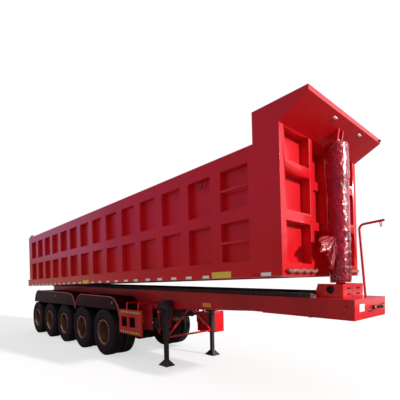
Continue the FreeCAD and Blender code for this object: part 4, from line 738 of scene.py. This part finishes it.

# %% [markdown]
# ## Guard strips, fender rims and side lamps
# The side guard has a lime and black dashed strip above and below its windows. The fenders' edges
# are rolled round a rod, tinted pink as a painted highlight for the thin line of light over the
# wheels, and a dark sheet of painted shade hangs under each skirt, down to just above the tyres.

# %% Guard strips
GUARD_X, LIME_STEP, BAND_Z = 7.36, 0.094, (0.700, 1.150)
limes = [(GUARD_X + LIME_STEP * k, GUARD_X + LIME_STEP * k + 0.050, z + 0.012, z + 0.052)
         for k in range(9) for z in BAND_Z]
bands = [(7.345, 8.19, z + 0.004, z + 0.060) for z in BAND_Z]
stuck("guard_lime", limes, LIME, PLATE, from_tail, "chassis", (-1,))
stuck("guard_bands", bands, BLACK, PLATE / 2, from_tail, "chassis", (-1,))
stuck("guard_lime_left", [row for row in limes if row[1] < 7.75], LIME, PLATE, from_tail,
      "chassis", (1,))

# %% Fenders
FENDERS = ((0.588, 4.559), (4.599, 7.244))
END_LONG, END_DROP, FENDER_TOP, FENDER_SIDE, SKIRT = 0.47, 0.44, 1.477, 1.237, 0.27
SHADE_SHEET_FOOT, SHADE_SHEET_TOP = 1.206, FENDER_TOP - SKIRT + 0.03  # over the floor, and on the level frame
SIDE_LAMP = ((0.0, -0.002), (0.027, 0.0), (0.026, 0.006), (0.022, 0.014), (0.012, 0.019),
             (0.0, 0.020))
q = np.linspace(0, np.pi / 2, 14)
end_in, end_z = END_LONG * (1 - np.sin(q)), FENDER_TOP - END_DROP * (1 - np.cos(q))
rims, gap_shade_sheets = [], []
for start, end in FENDERS:
    x = np.concatenate([(start + end_in)[::-1], end - end_in])
    z = np.concatenate([end_z[::-1], end_z]) + 0.002
    low_x = np.array([start + 0.16, end - 0.16])
    foot = (SHADE_SHEET_FOOT + (low_x - LEG_AT[0]) * np.sin(LEAN)) / np.cos(LEAN)
    outline = [*zip(low_x, foot), (low_x[1], SHADE_SHEET_TOP), (low_x[0], SHADE_SHEET_TOP)]
    for sign in (-1, 1):
        rims.append(tube(np.column_stack([x, np.full(len(x), sign * FENDER_SIDE), z]), 0.011, 8))
        near, far = sorted((sign * (FENDER_SIDE - 0.008), sign * (FENDER_SIDE - 0.002)))
        gap_shade_sheets.append(prism(outline, near, far))
# The rods carry the pink painted highlight of the edge's line of light.
assembly("fender_rims", rims, on_lean, EDGE, "chassis")
# Dark sheets of painted shade under the skirts, for the gap over the tyres.
assembly("fender_gap_shade_sheets", gap_shade_sheets, on_lean, SHADED_FENDER_PAINT, "chassis", smooth=0)
lamps = [mirrored(lathe(SIDE_LAMP, "Y", 20, (x, FENDER_SIDE - 0.008, 1.34)), sign)
         for x in (2.86, 6.90) for sign in (-1, 1)]
assembly("side_lamps", lamps, on_lean, WHITE, "chassis")

# %% [markdown]
# ## The coupling end
# The front cross plate carries a blank white plate, two air couplings and an electric socket. The
# cylinder's seat is bolted down with pairs of bolts. They are lathed cups and hexagon heads.

# %% Coupling end
END_X, SEAT_X, SOCKET = 12.416, 12.163, (0.06, 1.517)  # SOCKET: y, z


def cup(y, z, r):
    """A coupling's socket on the end plate: a flange, a wall and a sunk middle, all from r."""
    line = [(0, -0.002), (r * 1.25, -0.002), (r * 1.25, 0.006), (r, 0.008), (r, 0.034),
            (r * 0.8, 0.040), (r * 0.6, 0.040), (r * 0.55, 0.024), (0, 0.024)]
    return lathe(line, "X", 24, (END_X, y, z))


def hose(y0, y1, z):
    """A short line on the end plate, bowed out and down by a half sine between its ends."""
    t = np.linspace(0, 1, 9)
    bow = np.sin(np.pi * t)
    return tube(np.column_stack([END_X + 0.010 + 0.006 * bow, y0 + (y1 - y0) * t,
                                 z + 0.02 * t - 0.014 * bow]), 0.007, 8)


def bolt(center, r):
    """A hexagon head of radius r on a washer, standing along x."""
    line = [(0, 0), (r * 1.5, 0), (r * 1.5, 0.003), (r, 0.003), (r, r * 0.9), (r * 0.8, r * 1.1),
            (0, r * 1.1)]
    return lathe(line, "X", 6, center)


plate = rounded_box((END_X - 0.001, -0.425, 1.478), (END_X + 0.003, -0.255, 1.582), 0.001)
assembly("front_plate", [plate], on_lean, WHITE, "chassis", smooth=0)
cups = [cup(*row) for row in ((*SOCKET, 0.026), (0.26, 1.505, 0.019), (0.36, 1.505, 0.019))]
cups += [hose(*row) for row in ((-0.12, 0.16, 1.470), (0.10, 0.50, 1.530))]
assembly("couplings", cups, on_lean, BLACK, "chassis")
lens = lathe([(0, 0.0), (0.021, 0.0), (0.020, 0.012), (0.012, 0.019), (0, 0.021)], "X", 20,
             (END_X + 0.024, *SOCKET))
assembly("socket_cap", [lens], on_lean, LIME, "chassis")

# %% Seat bolts and painted shade in the holes
SEAT_HOLE_SHADE_CUP = ((0.0, -0.045), (0.068, -0.045), (0.068, 0.0), (0.0605, 0.0), (0.0605, -0.035),
          (0.0, -0.035))
HOLE = ((0, -0.004), (0.016, -0.004), (0.016, 0.0015), (0, 0.0015))
heads = [bolt((SEAT_X, y, z), 0.013) for y in (-0.20, -0.13, 0.13, 0.20) for z in (1.705, 1.79)]
assembly("seat_bolts", heads, on_lean, BLACK, "chassis")
# Closed black cups in the seat's pin holes and black discs on the neck plates are painted shade
# where the holes look dark.
hole_shades = []
for sign in (-1, 1):
    hole_shades.append(mirrored(lathe(SEAT_HOLE_SHADE_CUP, "Y", 32, (SEAT_X - 0.190, 0.340, 1.770)), sign))
    hole_shades.append(lathe(HOLE, "Y", 20, (12.30, sign * 0.580, 1.555)))
assembly("seat_hole_shades", hole_shades, on_lean, BLACK, "chassis")

# %% [markdown]
# ## Landing gear box and hanging plates
# Beside the right leg hangs its two-speed gear box with a crank stub, and behind it a valve block.
# Red plates hang under the beam and close the view to the tanks.

# %% Under the frame
GEAR_BLOCKS = (  # x0, y0, z0, x1, y1, z1, round: gear box, its cover, leg plates, valve block
    (8.285, -0.800, 1.13, 8.560, -0.640, 1.43, 0.018),
    (8.180, -0.770, 1.24, 8.300, -0.660, 1.42, 0.012),
    (8.340, -0.660, 1.20, 8.500, -0.575, 1.44, 0.008),
    (8.340, 0.575, 1.20, 8.500, 0.660, 1.44, 0.008),
    (7.78, -0.640, 0.74, 8.06, -0.500, 1.02, 0.020))
PLATE_BLOCKS = (
    (7.36, -0.606, 0.70, 7.74, -0.600, 1.30, 0.001),
    (8.00, -0.636, 0.66, 8.07, -0.630, 1.28, 0.001),
    (7.74, -0.480, 0.80, 8.30, -0.474, 1.30, 0.001))
CRANK = ((0, -0.90), (0.018, -0.90), (0.022, -0.895), (0.022, -0.84), (0.036, -0.838),
         (0.040, -0.80), (0, -0.80))
VALVE = ((0, -0.09), (0.05, -0.09), (0.065, -0.07), (0.065, 0.07), (0.05, 0.09), (0, 0.09))
VALVE_CAP = ((0, -0.655), (0.012, -0.655), (0.016, -0.650), (0.016, -0.636), (0, -0.636))


def blocks(table):
    """A rounded block for each row of two corners and a round."""
    return [rounded_box(row[:3], row[3:6], row[6]) for row in table]


turned_parts = [lathe(CRANK, "Y", 20, (8.449, 0, 1.22)), lathe(VALVE, "X", 24, (8.13, -0.56, 0.88))]
assembly("gear_box", blocks(GEAR_BLOCKS) + turned_parts, from_tail, BLACK, "chassis")
assembly("hanging_plates", blocks(PLATE_BLOCKS), from_tail, RED_LOW, "chassis")
caps = [lathe(VALVE_CAP, "Y", 16, (x, 0, z)) for x, z in ((7.80, 0.90), (8.02, 1.16))]
assembly("valve_caps", caps, from_tail, WHITE, "chassis")

# %% [markdown]
# ## Brake chambers
# On each axle two round chambers push the brake levers: two pressed pans held by a clamp band, with
# a spring pot behind. One lathed line makes a chamber, and two blocks make its lever.

# %% Brakes
AXLE_X = 0.872 + 1.383 * np.arange(5)
PAN = ((0, -0.150), (0.040, -0.150), (0.062, -0.140), (0.068, -0.120), (0.068, -0.050),
       (0.074, -0.030), (0.080, -0.012), (0.086, -0.008), (0.086, 0.008), (0.080, 0.012),
       (0.074, 0.030), (0.058, 0.052), (0.030, 0.062), (0.018, 0.064), (0.016, 0.110), (0, 0.110))
pots, levers = [], []
for x in AXLE_X:
    for y in (-0.30, 0.30):
        pots.append(lathe(PAN, "X", 28, (x + 0.26, y, 0.785)))
        levers += blocks(((x + 0.125, y - 0.010, 0.62, x + 0.155, y + 0.010, 0.80, 0.004),
                          (x + 0.17, y - 0.050, 0.60, x + 0.19, y + 0.050, 0.86, 0.004)))
assembly("brake_chambers", pots, from_tail, BLACK, "chassis")
assembly("brake_levers", levers, from_tail, BLACK, "chassis")

# %% [markdown]
# ## Tyres
# A trailer tyre is a closed ring of rubber: bead, bulging wall, shoulder and a tread with zigzag
# grooves. It could be a torus with a bump pattern, but the grooves show in the outline, so the
# section is a closed line of points carried round the axle, and the tread points move: the grooves
# swing sideways with a triangle wave, and every other step round the shoulder sinks into a notch.

# %% Tyres
TWINS = {j["name"][len("wheels_"):-len("_spin")]: np.array(j["pos_m"]) for j in frame["joints"]
         if j["name"].endswith("_spin")}
TWIN_HALF = 0.1675  # from a twin's middle to each tyre's
TREAD_BLOCKS, NOTCH, EDGE_NOTCH, SWING = 56, 0.012, 0.011, 0.0045
TYRE_WALL = ((0.305, 0.117), (0.3133, 0.1253), (0.3247, 0.129), (0.3298, 0.1368), (0.3402, 0.1447),
             (0.3443, 0.1426), (0.3506, 0.1468), (0.3806, 0.1515), (0.4272, 0.1525),
             (0.4738, 0.1506), (0.5048, 0.1478), (0.509, 0.1499), (0.5203, 0.1494),
             (0.5245, 0.1457), (0.5514, 0.1421))
SHOULDER = ((0.5659, 0.1394), (0.5845, 0.1295), (0.5923, 0.1191))
TREAD_EDGE = (0.5954, 0.094)
TREAD = ((0.5959, 0.0721), (0.5835, 0.0684), (0.5835, 0.0601), (0.597, 0.0564), (0.598, 0.0261),
         (0.598, 0.0115), (0.5845, 0.0084), (0.5845, 0.0))


def tyre_mesh():
    """Point (k, a) = (r_k - notch_k * step(a), y_k + swing_k * triangle(a)) about the Y axis."""
    step = np.array([0.0, 0.66, 0.72, 0.94])
    angle = ((np.arange(TREAD_BLOCKS)[:, None] + step) / TREAD_BLOCKS * 2 * np.pi).ravel()
    notch = np.tile([0.0, 0.0, 1.0, 1.0], TREAD_BLOCKS)
    wave = np.abs(((np.arange(TREAD_BLOCKS * 4) / 4.0) % 1.0) - 0.5) * 4 - 1
    half = np.array([(*p, 0.0, 0.0) for p in TYRE_WALL] + [(*p, NOTCH, 0.0) for p in SHOULDER]
                    + [(*TREAD_EDGE, EDGE_NOTCH, 0.0)] + [(*p, 0.0, SWING) for p in TREAD])
    bead = [(0.305, -0.042, 0, 0), (0.305, 0.042, 0, 0)]
    rows = np.vstack([half, half[-2::-1] * [1, -1, 1, 1], bead])
    r = rows[:, 0][None] - rows[:, 2][None] * notch[:, None]
    y = rows[:, 1][None] + rows[:, 3][None] * wave[:, None]
    points = np.stack([r * np.cos(angle)[:, None], y, r * np.sin(angle)[:, None]], -1)
    return points.reshape(-1, 3), grid_faces(len(angle), len(rows), True, True)[:, ::-1]


def twin_piece(kind, tag, shapes, signs, material, smooth=40):
    """Shapes drawn about the axle, each turned to its sign, as one piece of a twin wheel."""
    verts, faces = joined([mirrored(shape, sign) for shape, sign in zip(shapes, signs)])
    return piece(f"{kind}_{tag}", verts + TWINS[tag], faces, material, f"wheels_{tag}", smooth)


tyre_verts, tyre_faces = tyre_mesh()
tyres = [(tyre_verts + [0, shift, 0], tyre_faces) for shift in (-TWIN_HALF, TWIN_HALF)]
for tag in TWINS:
    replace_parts(twin_piece("tyre_pair", tag, tyres, (1, 1), TYRE), f"tyres_{tag}")
print("tyre", len(tyre_faces), "quads, pairs", len(TWINS))

# %% [markdown]
# ## Rims and hubs
# Twin wheels sit back to back: two deep dishes whose discs meet, ten nuts, and a hub through the
# middle. The barrel is a lathed line. The disc has hand holes, so each tenth of it is a patch whose
# lines run from the hole's edge out to the patch's border, and the patches meet round the circle.

# %% Discs and nuts
DISC_IN, DISC_OUT, HOLE_RING, HOLE_COUNT = 0.128, 0.268, 0.222, 10
HOLE_HALF = (0.155, 0.024)  # a hand hole's half size: an angle, and a length outward


def disc_height(r):
    """The disc's bow along the axle: flat inside, and rising by a square to the rim."""
    return 0.005 + 0.012 * np.clip((r - 0.215) / 0.040, 0, 1) ** 2


def disc_mesh():
    """A ring with holes: each sector blends from its hole's ellipse to the sector's border."""
    t = np.linspace(0, 2 * np.pi, 24, endpoint=False) + np.pi / 24
    half_a = np.pi / HOLE_COUNT
    ray = np.stack([np.cos(t), np.sin(t)], -1)
    room = np.where(ray[:, 1] > 0, DISC_OUT - HOLE_RING, HOLE_RING - DISC_IN)
    reach = np.minimum(half_a / np.maximum(np.abs(ray[:, 0]), 1e-9),
                       room / np.maximum(np.abs(ray[:, 1]), 1e-9))
    v = np.linspace(0, 1, 5)[:, None, None]
    flat = ray * HOLE_HALF * (1 - v) + ray * reach[:, None] * v
    r = HOLE_RING + flat[..., 1]
    parts = []
    for k in range(HOLE_COUNT):
        a = 2 * k * half_a + flat[..., 0]
        points = np.stack([r * np.cos(a), disc_height(r), r * np.sin(a)], -1).reshape(-1, 3)
        parts.append((points, grid_faces(5, 24, wrap_cols=True)[:, ::-1]))
    return joined(parts)


def hexes(count, ring, r, low, high):
    """Hexagon nuts on a circle, each with a washer below and a chamfered top."""
    nut = [(0.0, low), (r * 1.5, low), (r * 1.5, low + 0.004), (r * 1.15, low + 0.004),
           (r * 1.15, high - 0.004), (r * 0.95, high), (r * 0.6, high), (r * 0.55, high + 0.010),
           (0.0, high + 0.010)]
    angles = 2 * np.pi * np.arange(count) / count
    return joined([lathe(nut, "Y", 6, (ring * np.cos(a), 0, ring * np.sin(a)), a) for a in angles])


disc = disc_mesh()
nuts = hexes(10, 0.1675, 0.0165, 0.010, 0.034)
cap_bolts = hexes(8, 0.098, 0.006, 0.084, 0.092)
print("disc", len(disc[1]), "faces, nuts", len(nuts[1]), "faces")

# %% Rims
BARREL = ((0.324, 0.129), (0.3265, 0.1358), (0.324, 0.1405), (0.319, 0.141), (0.313, 0.1379),
          (0.307, 0.1347), (0.299, 0.1327), (0.293, 0.1233), (0.291, 0.1065), (0.288, 0.09),
          (0.2845, 0.05), (0.279, -0.03), (0.273, -0.09), (0.267, -0.118), (0.256, -0.136),
          (0.248, -0.144), (0.248, -0.164), (0.283, -0.13), (0.291, -0.07), (0.299, 0.06),
          (0.3045, 0.1149), (0.313, 0.1253))
HUB = ((0.0, -0.150), (0.130, -0.150), (0.130, 0.016), (0.139, 0.018), (0.139, 0.030),
       (0.122, 0.034), (0.112, 0.070), (0.108, 0.074), (0.108, 0.086), (0.092, 0.090),
       (0.084, 0.104), (0.070, 0.115), (0.045, 0.1195), (0.0, 0.1200))
DRUM = ((0.120, -0.030), (0.198, -0.030), (0.198, -0.226), (0.214, -0.226), (0.214, -0.200),
        (0.208, -0.196), (0.208, -0.082), (0.212, -0.078), (0.212, -0.064), (0.208, -0.060),
        (0.206, -0.026), (0.196, -0.016), (0.120, -0.016))
LOCK_RING = ((0.3145, 0.3054), (0.313, 0.3106), (0.307, 0.3116), (0.301, 0.308),
             (0.2995, 0.3007), (0.303, 0.2981))
# The hubs' paint is darkened as painted shade for the deep dish.
SHADED_HUB_PAINT = material("HubPaintShaded", (0.11, 0.085, 0.07), (0.07, 0.05, 0.045), dust_amount=0.3,
                     scale=6, gloss=(0.3, 0.5), metallic=0.4)
CAST = material("CastIron", (0.10, 0.075, 0.06), (0.14, 0.07, 0.04), dust_amount=0.35, scale=7,
                gloss=(0.5, 0.75), metallic=0.5, grain=250, bump=0.3, bump_size=0.001)
# The lock ring is lighter than the rim, as a painted highlight for its bright line.
RING = material("LockRingHighlight", (0.80, 0.58, 0.50), (0.66, 0.46, 0.38), scale=8, gloss=(0.16, 0.28),
                metallic=0.85)

barrel = lathe([(r, y + TWIN_HALF) for r, y in BARREL], "Y", 96)
hub, drum, lock_ring = lathe(HUB, "Y", 64), lathe(DRUM, "Y", 64), lathe(LOCK_RING, "Y", 128)
for tag in TWINS:
    out = dict(SIDES)[tag.split("_")[0]]
    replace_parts(twin_piece("rim_pair", tag, (barrel, barrel), (1, -1), BRONZE), f"rims_{tag}")
    plate = twin_piece("disc_pair", tag, (disc, disc), (1, -1), DISC)
    thick = plate.modifiers.new("Thickness", "SOLIDIFY")
    thick.thickness, thick.offset = 0.009, -1
    twin_piece("hub", tag, (hub, nuts, cap_bolts), (out, out, out), SHADED_HUB_PAINT, smooth=35)
    twin_piece("drum", tag, (drum,), (out,), CAST, smooth=35)
    twin_piece("lock_ring", tag, (lock_ring,), (out,), RING)
print("wheels dressed", len(TWINS))

# %% [markdown]
# ## Camera
# The camera could be set by eye, but the photo holds enough straight edges to solve it: sixty
# points of the bed, the wheels and the beam gave its place, its three angles and its focal length.

# %% Camera
YAW, PITCH, ROLL_TURN = np.radians([137.43, -0.271, -1.128])
CAMERA_AT = from_tail([14.209, -4.984, 1.858])
FOCAL_PX, CENTER_PX, FRAME_PX, SENSOR = 321.82, 282.68, 400, 36


def solved_camera():
    """Forward from yaw and pitch, right = forward x up, and both across turned by the roll."""
    forward = np.array([np.cos(YAW) * np.cos(PITCH), np.sin(YAW) * np.cos(PITCH), np.sin(PITCH)])
    right = np.cross(forward, [0, 0, 1])
    right /= np.linalg.norm(right)
    up = np.cross(right, forward)
    turned_right = right * np.cos(ROLL_TURN) + up * np.sin(ROLL_TURN)
    turned_up = -right * np.sin(ROLL_TURN) + up * np.cos(ROLL_TURN)
    basis = np.column_stack([turned_right, turned_up, -forward])
    cam = linked("Camera", bpy.data.cameras.new("Camera"))
    cam.data.sensor_width = SENSOR
    cam.data.lens = FOCAL_PX * SENSOR / FRAME_PX
    cam.data.shift_y = (CENTER_PX - FRAME_PX / 2) / FRAME_PX
    cam.data.clip_end = 200
    cam.matrix_world = Matrix([[*basis[i], CAMERA_AT[i]] for i in range(3)] + [[0, 0, 0, 1]])
    return cam


bpy.context.scene.camera = solved_camera()
print("camera at", CAMERA_AT.round(3))

# %% [markdown]
# ## Light
# The photo is a cut-out on white, lit by a low sun from straight ahead of the trailer. The hood's
# shadow on the front wall gives the sun's height, and the dark half of the cylinder its side. The
# world is white to the camera and dimmer to the shapes, so that the sun models them.

# %% World and sun
WORLD_LIGHT, SUN_LIGHT, SUN_SIDE, SUN_UP, SUN_SIZE = 0.50, 4.0, *np.radians([12, 20, 2.5])
WHITE_LIGHT = (1, 1, 1, 1)
bpy.context.scene.view_settings.view_transform = "Standard"
world = bpy.data.worlds.new("Studio")
bpy.context.scene.world = world
world.use_nodes = True
tree = world.node_tree
soft, white = (add_node(tree, "ShaderNodeBackground", {"Color": WHITE_LIGHT, "Strength": light})
               for light in (WORLD_LIGHT, 1.0))
shown = add_node(tree, "ShaderNodeMixShader",
                 feeds={"Fac": seen_by(tree, "Camera", "Glossy", "Transmission"),
                        1: soft.outputs[0], 2: white.outputs[0]})
tree.links.new(shown.outputs[0], tree.nodes["World Output"].inputs["Surface"])

sun = linked("Key", bpy.data.lights.new("Key", "SUN"))
sun.data.energy, sun.data.angle = SUN_LIGHT, SUN_SIZE
aim = (np.cos(SUN_UP) * np.cos(SUN_SIDE), np.cos(SUN_UP) * np.sin(SUN_SIDE), np.sin(SUN_UP))
sun.rotation_euler = Vector(aim).to_track_quat("Z", "Y").to_euler()
print("sun from", np.round(aim, 3))

# %% [markdown]
# ## What the gloss shows
# On white all round, glossy paint turns pale. On the real trailer it mirrors a yard and a sky. So
# dim cards that the camera doesn't see stand where those were, and the floor is pale only to the
# camera, and grey where it lights the underside.

# %% Cards and floor
RIGHT, REAR, FRONT, LEFT = -30, -60, 60, 30
CARDS = (  # name, its two ends on the ground, foot, head, colour, strength
    ("SkyRight", (REAR, RIGHT), (FRONT, RIGHT), 7, 40, (0.26, 0.10, 0.34), 0.75),
    ("YardRight", (REAR, RIGHT + 1), (FRONT, RIGHT + 1), -1, 7, (0.24, 0.07, 0.07), 0.5),
    ("SkyRear", (REAR, RIGHT), (REAR, 20), 7, 40, (0.50, 0.38, 0.66), 1.0),
    ("YardRear", (REAR, RIGHT), (REAR, 20), -1, 7, (0.52, 0.30, 0.20), 0.8),
    ("SkyNear", (FRONT, RIGHT), (FRONT, 0), -1, 40, (0.30, 0.10, 0.20), 0.4),
    ("YardLeft", (-5, LEFT), (70, LEFT), -1, 6, (0.30, 0.08, 0.07), 0.5),
    ("SkyLeft", (-5, LEFT), (70, LEFT), 6, 60, (1.0, 0.86, 1.0), 1.0))
FLOOR_GREY, FLOOR_LIFT, FLOOR_HALF = 0.46, 0.62, 80


def studio_quad(name, corners):
    """One quad with a new material of its own, and that material's node tree."""
    mesh = bpy.data.meshes.new(name)
    mesh.from_pydata(corners, [], [[0, 1, 2, 3]])
    made = bpy.data.materials.new(name)
    made.use_nodes = True
    mesh.materials.append(made)
    return linked(name, mesh), made.node_tree


def card(name, corners, colour, strength):
    """A dim card that only reflections see."""
    obj, tree = studio_quad(name, corners)
    tree.nodes.remove(tree.nodes["Principled BSDF"])
    glow = add_node(tree, "ShaderNodeEmission", {"Color": (*colour, 1), "Strength": strength})
    tree.links.new(glow.outputs[0], tree.nodes["Material Output"].inputs["Surface"])
    obj.visible_camera = obj.visible_shadow = obj.visible_diffuse = False


for name, one, two, low, high, colour, strength in CARDS:
    card(name, [(*one, low), (*two, low), (*two, high), (*one, high)], colour, strength)
card("GroundCard", [(-20, -15, 0.02), (25, -15, 0.02), (25, 15, 0.02), (-20, 15, 0.02)],
     (0.40, 0.20, 0.20), 0.35)

floor, tree = studio_quad("Floor", [(x * FLOOR_HALF, y * FLOOR_HALF, 0)
                                    for x, y in ((-1, -1), (1, -1), (1, 1), (-1, 1))])
glow = maths(tree, "MULTIPLY", seen_by(tree, "Camera", "Glossy"), FLOOR_LIFT)
shader = tree.nodes["Principled BSDF"]
for name, value in (("Base Color", (FLOOR_GREY, FLOOR_GREY, FLOOR_GREY, 1)), ("Roughness", 0.9),
                    ("Specular IOR Level", 0.1), ("Emission Color", WHITE_LIGHT)):
    shader.inputs[name].default_value = value
tree.links.new(glow, shader.inputs["Emission Strength"])
print("cards", len(CARDS) + 1)
